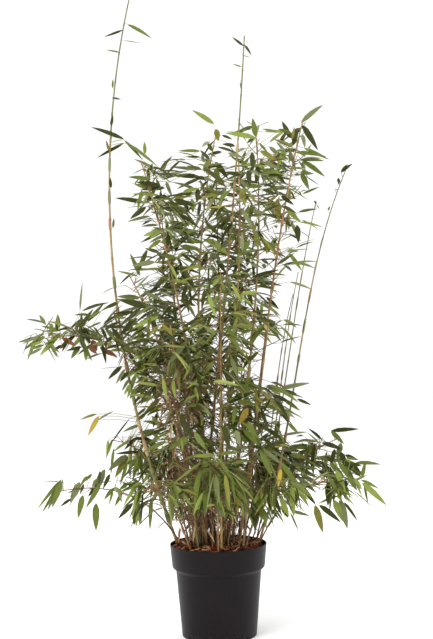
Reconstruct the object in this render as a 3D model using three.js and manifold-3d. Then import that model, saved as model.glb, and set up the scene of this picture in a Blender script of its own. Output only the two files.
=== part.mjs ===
// A clump of garden bamboo in a black nursery pot: thin leaning canes from one root, and the masses of
// narrow leaves that they carry. Millimetres, +Z up, +X to the viewer's right, +Y away from the viewer.
// The origin is the middle of the pot's flat underside.

import * as THREE from "three";
import { mergeVertices } from "three/addons/utils/BufferGeometryUtils.js";
import Module from "manifold-3d";

const wasm = await Module();
wasm.setup();

const clearance = 0.3;
const goldenAngle = Math.PI * (3 - Math.sqrt(5));
const degree = Math.PI / 180;

// The pot: a tapering body under a wide collar.
const pot = {
  height: 217,
  rimRadius: 115,
  collarDepth: 54,
  collarFootRadius: 110,
  shoulderDepth: 8,
  bodyRadius: 101.5,
  baseRadius: 88.5,
  wall: 1.8,
  floor: 2.5,
  sides: 36,
};

// The peat fills the pot to below the rim. gap is what it leaves free at the pot's wall.
const soil = { top: 206, gap: 0.5 };

// How each tier of the crown holds its leaves. rise is how steeply the twigs climb and hang how far
// below the level the leaves point, both in degrees. toss and sway are how much the two vary.
const tiers = {
  whip: { rise: 35, toss: 18, hang: 10, sway: 35, leafLength: 66, leafWidth: 13 },
  upper: { rise: 30, toss: 18, hang: 8, sway: 42, leafLength: 98, leafWidth: 29 },
  middle: { rise: 22, toss: 18, hang: 22, sway: 38, leafLength: 104, leafWidth: 34 },
  arch: { rise: 30, toss: 18, hang: 0, sway: 50, leafLength: 88, leafWidth: 26 },
  lower: { rise: 15, toss: 40, hang: 34, sway: 36, leafLength: 100, leafWidth: 31 },
};

const leafShape = { thickness: 1.6, widest: 0.42, sink: 3 };
const twigShape = { rootRadius: 1, endRadius: 0.9, sides: 3, steps: 1, free: 0.2, fewest: 2 };
const caneShape = { tipRadius: 0.75, sides: 5, steps: 5 };
const stemShape = { tipRadius: 1.3, sides: 4, steps: 4 };

// How the masses share the space among them. Heights count less than widths by squash, which makes
// the cells tall, and margin is what each keeps to its own border. limbGap is the least gap to a limb,
// and sliver is the least height that a triangle may have where parts are fused.
const space = { squash: 0.5, margin: 0.8, limbGap: 1, sliver: 0.001 };

// A cane rises from foot [x, y] on the soil to tip [x, y, z]. bow and curl move its two handles off the
// straight line between them. From leafy, a share of its length, to its tip it is the stem of a mass
// of leaves, whose longest twigs are as long as reach. A bare cane has none.
const shownCanes = [
  { name: "tall_left", foot: [-96, 30], tip: [-182, -20, 1541], bow: [-130, 0, -15], curl: [-140, 0, 16],
    base: 6.5, leafy: 0.66, tier: tiers.whip, reach: 28, twigs: 8, leaves: 2 },
  { name: "tall_middle", foot: [-43, -15], tip: [80, -70, 1406], bow: [5, 0, 15], curl: [15, 0, 0],
    base: 6.5, leafy: 0.86, tier: tiers.whip, reach: 16, twigs: 8, leaves: 1 },
  { name: "tall_right", foot: [95, 20], tip: [330, 60, 1119], bow: [29, 0, -11], curl: [-52, 0, 19],
    base: 6, leafy: 0.92, tier: tiers.whip, reach: 16, twigs: 5, leaves: 1 },
  { name: "shoot_outer", foot: [90, 47], tip: [254, 90, 1036], bow: [19, 0, 4], curl: [-13, 0, 0],
    base: 4 },
  { name: "shoot_middle", foot: [79, 30], tip: [209, 118, 863], bow: [28, 0, 0], curl: [-8, 0, 0],
    base: 4 },
  { name: "shoot_inner", foot: [68, 54], tip: [197, 145, 809], bow: [32, 0, 0], curl: [-15, 0, 0],
    base: 4 },
  { name: "upper_left", foot: [-44, 20], tip: [-210, 90, 865], bow: [15, 0, 6], curl: [57, 0, 13],
    base: 5.5, leafy: 0.55, tier: tiers.upper, reach: 65, twigs: 14, leaves: 5 },
  { name: "upper_front_left", foot: [-29, -25], tip: [-162, -110, 1112], bow: [44, 0, 28],
    curl: [40, 0, 14], base: 6.5, leafy: 0.58, tier: tiers.upper, reach: 65, twigs: 14,
    leaves: 5 },
  { name: "upper_middle", foot: [-10, 20], tip: [10, 40, 1195], bow: [-38, 0, 16], curl: [-66, 0, 0],
    base: 6.5, leafy: 0.6, tier: tiers.upper, reach: 65, twigs: 14, leaves: 5 },
  { name: "upper_front", foot: [6, -20], tip: [60, -150, 1104], bow: [0, 0, 18], curl: [28, 0, 6],
    base: 6, leafy: 0.6, tier: tiers.upper, reach: 65, twigs: 14, leaves: 5 },
  { name: "upper_back_right", foot: [23, 20], tip: [109, 125, 1225], bow: [19, 0, 0],
    curl: [51, 0, -10], base: 6.5, leafy: 0.62, tier: tiers.upper, reach: 65, twigs: 14,
    leaves: 5 },
  { name: "upper_right", foot: [47, -10], tip: [215, -55, 1215], bow: [3, 0, 9], curl: [-29, 0, 11],
    base: 6.5, leafy: 0.58, tier: tiers.upper, reach: 65, twigs: 14, leaves: 5 },
  { name: "upper_back", foot: [15, 50], tip: [10, 235, 1110], bow: [0, 0, 15], curl: [0, 30, 0],
    base: 6, leafy: 0.58, tier: tiers.upper, reach: 70, twigs: 11, leaves: 5 },
  { name: "upper_back_left", foot: [-40, 48], tip: [-140, 205, 1050], bow: [0, 0, 15],
    curl: [20, 20, 0], base: 6, leafy: 0.58, tier: tiers.upper, reach: 70, twigs: 11,
    leaves: 5 },
  { name: "arch_left", foot: [-62, -6], tip: [-425, -60, 705], bow: [145, -10, 101],
    curl: [153, -20, 240], base: 5.5, leafy: 0.48, tier: tiers.arch, reach: 60, twigs: 24,
    leaves: 5 },
  { name: "low_left_outer", foot: [-80, -25], tip: [-385, -50, 350], bow: [30, 0, 90],
    curl: [30, 0, 75], base: 4, leafy: 0.45, tier: tiers.lower, reach: 50, twigs: 18,
    leaves: 4 },
  { name: "low_left_upper", foot: [-70, 62], tip: [-260, 110, 455], bow: [30, 0, 60],
    curl: [30, 0, 75], base: 4, leafy: 0.5, tier: tiers.lower, reach: 45, twigs: 14,
    leaves: 4 },
  { name: "low_right_outer", foot: [92, -20], tip: [325, -60, 350], bow: [-20, 0, 90],
    curl: [-10, 0, 90], base: 4, leafy: 0.45, tier: tiers.lower, reach: 60, twigs: 18,
    leaves: 5 },
  { name: "low_right_upper", foot: [88, 34], tip: [300, 70, 455], bow: [-15, 0, 55],
    curl: [-20, 0, 55], base: 4, leafy: 0.5, tier: tiers.lower, reach: 55, twigs: 16, leaves: 4 },
];

// Canes that fill the clump all round, one to an azimuth. Each leans out from its foot, arch lifts its
// handles so that it bends over, and stagger sets neighbours above and below the ring's height.
const rings = [
  { name: "middle", azimuths: [-125, -85, -45, 62, 110], footRadius: 80, tipRadius: 175, height: 800,
    stagger: 60, arch: 20, base: 5.5, leafy: 0.36, tier: tiers.middle, reach: 80, twigs: 28,
    leaves: 5 },
  { name: "low", azimuths: [-130, -90, -52, 50, 90, 130], footRadius: 97, tipRadius: 255, height: 400,
    stagger: 30, arch: 75, base: 4, leafy: 0.42, tier: tiers.lower, reach: 60, twigs: 20,
    leaves: 4 },
];

function ringCanes(ring) {
  return ring.azimuths.map((azimuth, i) => {
    const x = Math.cos(azimuth * degree);
    const y = Math.sin(azimuth * degree);
    return {
      ...ring,
      name: `${ring.name}_${i + 1}`,
      foot: [x * ring.footRadius, y * ring.footRadius],
      tip: [x * ring.tipRadius, y * ring.tipRadius, ring.height + ring.stagger * (i % 2 ? 1 : -1)],
      bow: [0, 0, ring.arch],
      curl: [0, 0, ring.arch],
    };
  });
}

// Numbers from 0 to 1 that are the same on every run.
function seeded(seed) {
  let state = seed;
  return () => {
    state = (Math.imul(state, 1664525) + 1013904223) >>> 0;
    return state / 2 ** 32;
  };
}

function curveOf(cane) {
  const foot = new THREE.Vector3(cane.foot[0], cane.foot[1], soil.top + clearance);
  const tip = new THREE.Vector3(...cane.tip);
  const lower = foot.clone().lerp(tip, 1 / 3).add(new THREE.Vector3(...cane.bow));
  const upper = foot.clone().lerp(tip, 2 / 3).add(new THREE.Vector3(...cane.curl));
  return new THREE.CubicBezierCurve3(foot, lower, upper, tip);
}

// Two curves that follow one another along a longer one, split at a share of its length.
function splitCurve(curve, share) {
  const t = curve.getUtoTmapping(share);
  const [a, b, c] = [[curve.v0, curve.v1], [curve.v1, curve.v2], [curve.v2, curve.v3]]
    .map(([from, to]) => from.clone().lerp(to, t));
  const ab = a.clone().lerp(b, t);
  const bc = b.clone().lerp(c, t);
  const middle = ab.clone().lerp(bc, t);
  return [
    new THREE.CubicBezierCurve3(curve.v0, a, ab, middle),
    new THREE.CubicBezierCurve3(middle, bc, c, curve.v3),
  ];
}

// The middle of a limb at a share of its length. Between its steps a limb is straight.
function middleAt(curve, share, steps) {
  const step = Math.min(Math.floor(share * steps), steps - 1);
  const from = curve.getPointAt(step / steps);
  return from.lerp(curve.getPointAt((step + 1) / steps), share * steps - step);
}

// A tapered limb with flat ends, bent along a curve. On request its foot is cut level.
function limb(curve, footRadius, tipRadius, shape, levelFoot = false) {
  const geometry = new THREE.CylinderGeometry(tipRadius, footRadius, 1, shape.sides, shape.steps);
  const frames = curve.computeFrenetFrames(shape.steps);
  const place = geometry.attributes.position;
  for (let i = 0; i < place.count; i += 1) {
    const ring = Math.round((place.getY(i) + 0.5) * shape.steps);
    const point = curve.getPointAt(ring / shape.steps);
    const height = point.z;
    point.addScaledVector(frames.binormals[ring], place.getX(i));
    point.addScaledVector(frames.normals[ring], place.getZ(i));
    if (levelFoot && ring === 0) {
      const along = frames.tangents[0];
      point.addScaledVector(along, (height - point.z) / along.z);
    }
    place.setXYZ(i, point.x, point.y, point.z);
  }
  return geometry;
}

// A leaf is a thin blade, flat above and keeled below, pointed at both ends and widest nearer its root.
function leafBlade(leaf) {
  const along = leaf.tip.clone().sub(leaf.root).normalize();
  const across = new THREE.Vector3(0, 0, 1).cross(along).normalize().applyAxisAngle(along, leaf.roll);
  const below = across.clone().cross(along);
  const middle = leaf.root.clone().lerp(leaf.tip, leafShape.widest);
  const corners = [
    leaf.root,
    leaf.tip,
    middle.clone().addScaledVector(across, leaf.width / 2),
    middle.clone().addScaledVector(across, -leaf.width / 2),
    middle.clone().addScaledVector(below, leafShape.thickness),
  ];
  const faces = [0, 2, 4, 2, 1, 4, 1, 3, 4, 3, 0, 4, 0, 3, 2, 3, 1, 2];
  return new THREE.BufferGeometry().setFromPoints(corners).setIndex(faces);
}

// A profile turned about the upright axis, from points of radius and height.
function turned(profile) {
  const points = profile.map(([radius, height]) => new THREE.Vector2(radius, height));
  return new THREE.LatheGeometry(points, pot.sides).rotateX(Math.PI / 2);
}

// The pot's wall from its floor to its rim, moved in by inset.
function wallProfile(inset) {
  return [
    [pot.baseRadius - inset, 0],
    [pot.bodyRadius - inset, pot.height - pot.collarDepth - pot.shoulderDepth],
    [pot.collarFootRadius - inset, pot.height - pot.collarDepth],
    [pot.rimRadius - inset, pot.height],
  ];
}

function radiusAt(profile, height) {
  const i = profile.findIndex((point) => point[1] >= height);
  const [[r0, z0], [r1, z1]] = [profile[i - 1], profile[i]];
  return r0 + (r1 - r0) * (height - z0) / (z1 - z0);
}

function potGeometry() {
  const inside = wallProfile(pot.wall);
  const floorCorner = [radiusAt(inside, pot.floor), pot.floor];
  return turned([[0, 0], ...wallProfile(0), ...inside.slice(1).reverse(), floorCorner, [0, pot.floor]]);
}

function soilGeometry() {
  const wall = wallProfile(pot.wall + soil.gap);
  const bottom = pot.floor + clearance;
  const lower = [radiusAt(wall, bottom), bottom];
  const upper = [radiusAt(wall, soil.top), soil.top];
  return turned([[0, bottom], lower, wall[1], wall[2], upper, [0, soil.top]]);
}

function solid(geometry) {
  geometry.deleteAttribute("normal");
  geometry.deleteAttribute("uv");
  const merged = mergeVertices(geometry, 1e-4);
  return new wasm.Manifold(new wasm.Mesh({
    numProp: 3,
    vertProperties: new Float32Array(merged.attributes.position.array),
    triVerts: new Uint32Array(merged.index.array),
  }));
}

function geometryOf(manifold) {
  const mesh = manifold.getMesh();
  const geometry = new THREE.BufferGeometry();
  geometry.setAttribute("position", new THREE.BufferAttribute(new Float32Array(mesh.vertProperties), 3));
  geometry.setIndex(new THREE.BufferAttribute(new Uint32Array(mesh.triVerts), 1));
  geometry.computeVertexNormals();
  return geometry;
}

// A direction from its azimuth and its angle above the level.
function heading(azimuth, elevation) {
  const level = Math.cos(elevation);
  return new THREE.Vector3(Math.cos(azimuth) * level, Math.sin(azimuth) * level, Math.sin(elevation));
}

// The twigs of one mass and the leaves on each, from a seeded rule. The twigs follow one another up
// the stem, each turned by the golden angle from the last, and grow shorter towards the tip. A twig
// ends in one leaf, and its others leave it to alternate sides.
function twigsOf(mass, seed) {
  const random = seeded(seed);
  const vary = (amount) => (random() * 2 - 1) * amount;
  const turn = random() * Math.PI * 2;
  const { tier } = mass;
  const twigs = [];
  for (let i = 0; i < mass.twigs; i += 1) {
    const share = (i + 0.5) / mass.twigs;
    const azimuth = turn + goldenAngle * i + vary(0.4);
    const rise = (tier.rise + vary(tier.toss)) * degree;
    const length = mass.reach * (1 - 0.5 * share * share) * (0.6 + 0.4 * random());
    const root = middleAt(mass.stem, share, stemShape.steps);
    const along = heading(azimuth, rise);
    const twig = { root, end: root.clone().addScaledVector(along, length), leaves: [] };
    for (let k = 0; k < mass.leaves; k += 1) {
      const side = k === 0 ? 0 : (k % 2 ? 1 : -1);
      const spread = side * (50 + vary(20)) * degree + vary(0.25);
      const dip = -(tier.hang + vary(tier.sway)) * degree;
      const size = tier.leafLength * (0.75 + 0.25 * random());
      const from = length * (1 - 0.18 * k) - (k ? 0 : leafShape.sink);
      const leafRoot = root.clone().addScaledVector(along, from);
      const tip = leafRoot.clone().addScaledVector(heading(azimuth + spread, dip), size);
      twig.leaves.push({ root: leafRoot, tip, width: tier.leafWidth, roll: vary(0.9) });
    }
    twigs.push(twig);
  }
  return twigs;
}

// Shortest distance between the segments a-b and c-d.
function segmentGap(a, b, c, d) {
  const first = b.clone().sub(a);
  const second = d.clone().sub(c);
  const offset = a.clone().sub(c);
  const firstSquare = first.dot(first);
  const secondSquare = second.dot(second);
  const mixed = first.dot(second);
  const alongFirst = first.dot(offset);
  const alongSecond = second.dot(offset);
  const spread = firstSquare * secondSquare - mixed * mixed;
  const clamp = THREE.MathUtils.clamp;
  let s = spread > 1e-9 ? clamp((mixed * alongSecond - alongFirst * secondSquare) / spread, 0, 1) : 0;
  let t = (mixed * s + alongSecond) / secondSquare;
  if (t < 0 || t > 1) {
    t = clamp(t, 0, 1);
    s = clamp((mixed * t - alongFirst) / firstSquare, 0, 1);
  }
  return a.clone().addScaledVector(first, s).distanceTo(c.clone().addScaledVector(second, t));
}

// How far a point is from a mass, eased by the mass's own reach. A point belongs to the mass for which
// this is least, so every mass has a convex cell of its own and no two masses can meet.
function farness(mass, point) {
  const offset = point.clone().sub(mass.middle);
  offset.z *= space.squash;
  return offset.lengthSq() - mass.reach ** 2;
}

function inOwnCell(mass, masses, point) {
  const own = farness(mass, point);
  return masses.every((other) => {
    const apart = other.middle.clone().sub(mass.middle);
    return other === mass || farness(other, point) - own > 2 * space.margin * apart.length();
  });
}

function clearOfLimbs(mass, limbs, from, to, radius) {
  return limbs.every((other) => {
    const least = radius + other.radius + space.limbGap;
    return other === mass.ownLimb || other.points.slice(1).every((point, i) => {
      return segmentGap(from, to, other.points[i], point) > least;
    });
  });
}

// Splits a cane where its foliage begins, and gives the limbs that leaves have to keep clear of.
function prepare(cane) {
  const whole = curveOf(cane);
  const bareShare = cane.leafy ?? 1;
  const tipRadius = cane.leafy ? stemShape.tipRadius : caneShape.tipRadius;
  cane.baseRadius = cane.base / 2;
  cane.splitRadius = THREE.MathUtils.lerp(cane.baseRadius, tipRadius, bareShare);
  cane.bare = cane.leafy ? splitCurve(whole, bareShare)[0] : whole;
  const limbs = [{ points: cane.bare.getSpacedPoints(caneShape.steps), radius: cane.baseRadius }];
  if (cane.leafy) {
    cane.stem = splitCurve(whole, bareShare + clearance / whole.getLength())[1];
    cane.middle = cane.stem.getPointAt(0.5);
    cane.ownLimb = { points: cane.stem.getSpacedPoints(stemShape.steps), radius: cane.splitRadius };
    limbs.push(cane.ownLimb);
  }
  return limbs;
}

// A body is sound where it touches itself at no corner and none of its triangles is a mere sliver.
function isSound(body) {
  const { vertProperties, triVerts } = body.getMesh();
  const places = new Set();
  for (let i = 0; i < vertProperties.length; i += 3) {
    places.add(Array.from(vertProperties.slice(i, i + 3), (value) => value.toFixed(3)).join());
  }
  const corners = [0, 1, 2].map(() => new THREE.Vector3());
  let least = Infinity;
  for (let i = 0; i < triVerts.length; i += 3) {
    corners.forEach((corner, k) => corner.fromArray(vertProperties, 3 * triVerts[i + k]));
    const [a, b, c] = corners;
    const longest = Math.max(a.distanceTo(b), b.distanceTo(c), c.distanceTo(a));
    const doubleArea = b.clone().sub(a).cross(c.clone().sub(a)).length();
    least = Math.min(least, doubleArea / longest);
  }
  return places.size === vertProperties.length / 3 && least > space.sliver;
}

// Fuses a part to a body, or leaves the body as it is where the two don't join soundly.
function fuse(body, part) {
  const joined = body.add(part);
  return isSound(joined) ? joined : body;
}

// A leaf has room where its corners are in the mass's cell and it is clear of the limbs.
function hasRoom(leaf, geometry, mass, masses, limbs) {
  const place = geometry.attributes.position;
  for (let i = 0; i < place.count; i += 1) {
    if (!inOwnCell(mass, masses, new THREE.Vector3().fromBufferAttribute(place, i))) {
      return false;
    }
  }
  return clearOfLimbs(mass, limbs, leaf.root, leaf.tip, leaf.width / 2);
}

// Adds a twig with those of its leaves that have room and cut through nothing. A twig that keeps too
// few of them is left out.
function withTwig(body, twig, mass, masses, limbs) {
  const { root, end, leaves } = twig;
  const inCell = [root, end].every((point) => inOwnCell(mass, masses, point));
  if (!inCell || !clearOfLimbs(mass, limbs, root, end, twigShape.rootRadius)) {
    return body;
  }
  const outer = new THREE.LineCurve3(root.clone().lerp(end, twigShape.free), end);
  const outerSolid = solid(limb(outer, twigShape.rootRadius, twigShape.endRadius, twigShape));
  const line = new THREE.LineCurve3(root, end);
  const bare = fuse(body, solid(limb(line, twigShape.rootRadius, twigShape.endRadius, twigShape)));
  if (bare === body || !body.intersect(outerSolid).isEmpty()) {
    return body;
  }
  let grown = bare;
  let kept = [];
  for (const leaf of leaves) {
    const geometry = leafBlade(leaf);
    if (!hasRoom(leaf, geometry, mass, masses, limbs)) {
      continue;
    }
    const blade = solid(geometry);
    if (![body, ...kept].every((other) => other.intersect(blade).isEmpty())) {
      continue;
    }
    const next = fuse(grown, blade);
    if (next !== grown) {
      grown = next;
      kept = [...kept, blade];
    }
  }
  return kept.length >= Math.min(twigShape.fewest, leaves.length) ? grown : body;
}

// One mass: its stem, the twigs that find room, and their leaves, all fused into one body.
function massGeometry(mass, seed, masses, limbs) {
  const stem = solid(limb(mass.stem, mass.splitRadius, stemShape.tipRadius, stemShape));
  const body = twigsOf(mass, seed).reduce((sum, twig) => withTwig(sum, twig, mass, masses, limbs), stem);
  const bodies = body.decompose().sort((a, b) => b.volume() - a.volume());
  return geometryOf(bodies[0]);
}

const materials = {
  pot: new THREE.MeshStandardMaterial({ color: 0x242225, roughness: 0.5, metalness: 0 }),
  soil: new THREE.MeshStandardMaterial({ color: 0x5c3a26, roughness: 0.95, metalness: 0 }),
  cane: new THREE.MeshStandardMaterial({ color: 0x8b8447, roughness: 0.5, metalness: 0 }),
  leaf: new THREE.MeshStandardMaterial({ color: 0x5f6d38, roughness: 0.55, metalness: 0 }),
};

const group = new THREE.Group();

function add(name, geometry, material) {
  const mesh = new THREE.Mesh(geometry, material.clone());
  mesh.name = name;
  group.add(mesh);
}

add("pot", potGeometry(), materials.pot);
add("soil", soilGeometry(), materials.soil);

const canes = [...shownCanes, ...rings.flatMap(ringCanes)];
const limbs = canes.flatMap(prepare);
const masses = canes.filter((cane) => cane.leafy);
for (const cane of canes) {
  const geometry = limb(cane.bare, cane.baseRadius, cane.splitRadius, caneShape, true);
  add(`cane_${cane.name}`, geometry, materials.cane);
}
for (const [i, mass] of masses.entries()) {
  add(`leaves_${mass.name}`, massGeometry(mass, i + 11, masses, limbs), materials.leaf);
}

export default group;
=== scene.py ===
import math
import random

import bmesh
import bpy
import numpy as np
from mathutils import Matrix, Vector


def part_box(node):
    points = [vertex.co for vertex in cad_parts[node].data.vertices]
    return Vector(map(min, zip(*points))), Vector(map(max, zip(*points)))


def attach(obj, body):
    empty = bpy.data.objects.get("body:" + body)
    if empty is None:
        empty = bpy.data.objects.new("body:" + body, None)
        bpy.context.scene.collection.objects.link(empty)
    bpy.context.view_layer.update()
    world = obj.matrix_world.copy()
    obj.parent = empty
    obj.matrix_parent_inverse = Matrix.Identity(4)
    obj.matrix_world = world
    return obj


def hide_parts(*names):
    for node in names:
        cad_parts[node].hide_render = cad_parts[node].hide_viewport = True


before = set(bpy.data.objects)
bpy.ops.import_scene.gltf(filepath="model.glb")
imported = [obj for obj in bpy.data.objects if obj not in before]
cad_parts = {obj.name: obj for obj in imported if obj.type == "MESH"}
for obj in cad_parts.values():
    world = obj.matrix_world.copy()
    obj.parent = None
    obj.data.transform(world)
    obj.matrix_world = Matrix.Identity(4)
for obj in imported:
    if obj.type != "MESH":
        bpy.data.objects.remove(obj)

mm = 0.001
degree = math.pi / 180
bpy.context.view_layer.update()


# How the photo was taken, for the camera and for the places that are read from it
photoView = {
    "frame": (433, 639),   # pixels
    "mmPerPixel": 2.381,   # at the pot's axis
    "distance": 2880, "height": 748.8, "side": 4.5, "roll": 0.944,
}


# Helpers for materials

def linear(hexColour):
    # an sRGB hex value as the linear colour that a shader takes
    parts = [int(hexColour[i:i + 2], 16) / 255 for i in (1, 3, 5)]
    return [c / 12.92 if c <= 0.04045 else ((c + 0.055) / 1.055) ** 2.4 for c in parts] + [1]


def addNode(tree, kind, settings={}, links={}):
    node = tree.nodes.new(kind)
    for name, value in settings.items():
        if isinstance(name, str) and hasattr(node, name):
            setattr(node, name, value)
        else:
            node.inputs[name].default_value = value
    for name, source in links.items():
        tree.links.new(source, node.inputs[name])
    return node.outputs


def startMaterial(name):
    material = bpy.data.materials.new(name)
    material.use_nodes = True
    tree = material.node_tree
    place = addNode(tree, "ShaderNodeTexCoord")["Object"]
    return material, tree, tree.nodes["Principled BSDF"], place


def finishSurface(tree, shader, colour, roughness, relief, depth, specular):
    # relief is drawn to a depth in millimetres
    bump = addNode(tree, "ShaderNodeBump", {"Strength": 1, "Distance": depth * mm}, {"Height": relief})
    for name, source in (("Base Color", colour), ("Roughness", roughness), ("Normal", bump[0])):
        tree.links.new(source, shader.inputs[name])
    shader.inputs["Specular IOR Level"].default_value = specular


def mouldedPolypropylene():
    # Black polypropylene from an injection mould: a satin skin with the mould's fine grain and a painted
    # sheen of warm brown laid in random clouds over the black, with dust low down and a few pale scuffs.
    # brown is the colour of the painted sheen, and cloudMm the size of its clouds
    look = {"black": "#0f0a0e", "brown": "#171114", "dust": "#5d544b", "cloudMm": 60, "scuffMm": 7,
            "grainMm": 1.4, "dustTopMm": 34, "dusty": (0.04, 0.3), "scuffs": (0.5, 0.75),
            "patches": (0.3, 0.7), "gloss": (0.36, 0.5), "depth": 0.05, "ior": 1.49, "specular": 0.14}
    material, tree, shader, place = startMaterial("injection-moulded polypropylene")
    # painted sheen: the black is mixed with warm brown in random clouds
    sheenCloud = addNode(tree, "ShaderNodeTexNoise", {"Scale": 1 / (look["cloudMm"] * mm), "Detail": 3},
                    {"Vector": place})[0]
    body = addNode(tree, "ShaderNodeMix", {"data_type": "RGBA", 6: linear(look["black"]),
                   7: linear(look["brown"])}, {0: sheenCloud})[2]
    specks = addNode(tree, "ShaderNodeTexNoise", {"Scale": 1 / (look["scuffMm"] * mm), "Detail": 6,
                     "Roughness": 0.7}, {"Vector": place})[0]
    height = addNode(tree, "ShaderNodeSeparateXYZ", {}, {0: place})[2]
    low = addNode(tree, "ShaderNodeMapRange", {"From Min": look["dustTopMm"] * mm, "From Max": 0,
                  "To Min": look["dusty"][0], "To Max": look["dusty"][1]}, {"Value": height})[0]
    scuffed = addNode(tree, "ShaderNodeMapRange", {"From Min": look["scuffs"][0],
                      "From Max": look["scuffs"][1]}, {"Value": specks})[0]
    share = addNode(tree, "ShaderNodeMath", {"operation": "MULTIPLY"}, {0: low, 1: scuffed})[0]
    colour = addNode(tree, "ShaderNodeMix", {"data_type": "RGBA", 7: linear(look["dust"])},
                     {0: share, 6: body})[2]
    gloss = addNode(tree, "ShaderNodeMapRange", {
        "From Min": look["patches"][0], "From Max": look["patches"][1],
        "To Min": look["gloss"][0], "To Max": look["gloss"][1]}, {"Value": specks})[0]
    grain = addNode(tree, "ShaderNodeTexNoise", {"Scale": 1 / (look["grainMm"] * mm), "Detail": 2},
                    {"Vector": place})[0]
    shader.inputs["IOR"].default_value = look["ior"]
    finishSurface(tree, shader, colour, gloss, grain, look["depth"], look["specular"])
    return material


def dappledSurface(name, grains, spread, colours, rough, depth, specular):
    # Two colours, dealt out by grains of one or two sizes. The first grain is the relief too, and the
    # last says how rough each spot is. spread is the range of the grains in which the colours change.
    material, tree, shader, place = startMaterial(name)
    noises = []
    for grain in grains:
        where = place
        if "stretch" in grain:
            where = addNode(tree, "ShaderNodeMapping", {"Scale": (1, 1, grain["stretch"])},
                            {"Vector": place})[0]
        noises.append(addNode(tree, "ShaderNodeTexNoise", {
            "Scale": 1 / (grain["sizeMm"] * mm), "Detail": grain["detail"],
            "Roughness": grain.get("roughness", 0.5)}, {"Vector": where})[0])
    share = noises[0]
    for other in noises[1:]:
        share = addNode(tree, "ShaderNodeMath", {"operation": "ADD"}, {0: share, 1: other})[0]
    share = addNode(tree, "ShaderNodeMapRange", {"From Min": spread[0], "From Max": spread[1]},
                    {"Value": share})[0]
    colour = addNode(tree, "ShaderNodeMix", {"data_type": "RGBA", 6: colours[0], 7: colours[1]},
                     {0: share})[2]
    dull = addNode(tree, "ShaderNodeMapRange", {"To Min": rough[0], "To Max": rough[1]},
                   {"Value": noises[-1]})[0]
    finishSurface(tree, shader, colour, dull, noises[0], depth, specular)
    return material


def roughStuff(name, dark, light, grainMm, depth, roughest=0.95):
    # Bark, peat and dead wood: a dull broken surface, with its darks and lights in grains of one size
    grain = {"sizeMm": grainMm, "detail": 5, "roughness": 0.65}
    return dappledSurface(name, [grain], (0.35, 0.65), (linear(dark), linear(light)),
                          (roughest - 0.2, roughest), depth, 0.15)


def growingSkin(name, dark, light, streakMm, glossy, depth):
    # The hard waxy skin of a culm or a sheath as it grew: streaked along its length, which is upwards,
    # and blotched by weather
    streak = {"sizeMm": streakMm, "detail": 4, "stretch": 0.08}
    blotch = {"sizeMm": 35, "detail": 2}
    return dappledSurface(name, [streak, blotch], (0.75, 1.25), (linear(dark), linear(light)),
                          (glossy, glossy + 0.2), depth, 0.3)


def leafSkin(name, colour, glossy):
    # A bamboo leaf: a thin tough skin, satin above and duller below. Its colour is dealt out by spray,
    # and each leaf is only a little mottled, darker and paler by shares of that colour.
    mottle = {"sizeMm": 16, "detail": 2}
    colours = [[share * c for c in linear(colour)[:3]] + [1] for share in (0.78, 1.2)]
    return dappledSurface(name, [mottle], (0, 1), colours, (glossy, glossy + 0.16), 0.1, 0.17)


# Helpers for shapes

def deselectAll():
    bpy.ops.object.select_all(action="DESELECT")


def editMode():
    bpy.ops.object.mode_set(mode="EDIT")


def objectMode():
    bpy.ops.object.mode_set(mode="OBJECT")


def applyModifier(kind, settings):
    piece = bpy.context.object
    modifier = piece.modifiers.new(kind.title(), kind)
    for name, value in settings.items():
        setattr(modifier, name, value)
    bpy.ops.object.modifier_apply(modifier=modifier.name)


def selectWhere(kind, test):
    # in edit mode, selects the vertices, edges or faces that pass the test
    bpy.ops.mesh.select_mode(type=kind)
    bpy.ops.mesh.select_all(action="DESELECT")
    mesh = bmesh.from_edit_mesh(bpy.context.object.data)
    for part in {"VERT": mesh.verts, "EDGE": mesh.edges, "FACE": mesh.faces}[kind]:
        part.select = test(part)
    if kind == "VERT":
        mesh.select_flush(True)
    bmesh.update_edit_mesh(bpy.context.object.data)


def turnedShape(segments, profile):
    # a closed shape from rings of a radius and a height, left in edit mode
    deselectAll()
    radius, height = profile[0]
    bpy.ops.mesh.primitive_circle_add(vertices=segments, radius=radius * mm, fill_type="NOTHING")
    editMode()
    bpy.ops.transform.translate(value=(0, 0, height * mm))
    for (r0, z0), (r1, z1) in zip(profile, profile[1:]):
        bpy.ops.mesh.extrude_region_move(TRANSFORM_OT_translate={"value": (0, 0, (z1 - z0) * mm)})
        bpy.ops.transform.resize(value=(r1 / r0, r1 / r0, 1), center_override=(0, 0, 0))
    bpy.ops.mesh.select_all(action="SELECT")
    bpy.ops.mesh.fill_holes(sides=0)
    bpy.ops.mesh.normals_make_consistent(inside=False)


def placePiece(piece, name, materials, nodes, smoothBelow=35):
    piece.name = name
    piece.data.name = name
    piece.data.materials.clear()
    for material in materials:
        piece.data.materials.append(material)
    deselectAll()
    piece.select_set(True)
    bpy.context.view_layer.objects.active = piece
    bpy.ops.object.shade_smooth_by_angle(angle=smoothBelow * degree)
    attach(piece, "root")
    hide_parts(*nodes)
    print(name, len(piece.data.polygons), "faces")


# A shape that repeats is modelled once, one unit long from x = 0 to x = 1, and kept as arrays. Every
# copy is bent to its own line and laid on a heap, and a heap becomes one joined piece.

def keepShape():
    piece = bpy.context.object
    mesh = piece.data
    shape = {
        "points": np.array([v.co[:] for v in mesh.vertices]),
        "faces": [tuple(f.vertices) for f in mesh.polygons],
        "under": np.array([f.normal.z < 0 for f in mesh.polygons], int),
    }
    bpy.data.objects.remove(piece)
    return shape


def newHeap():
    return {"points": [], "faces": [], "marks": [], "count": 0}


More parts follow.
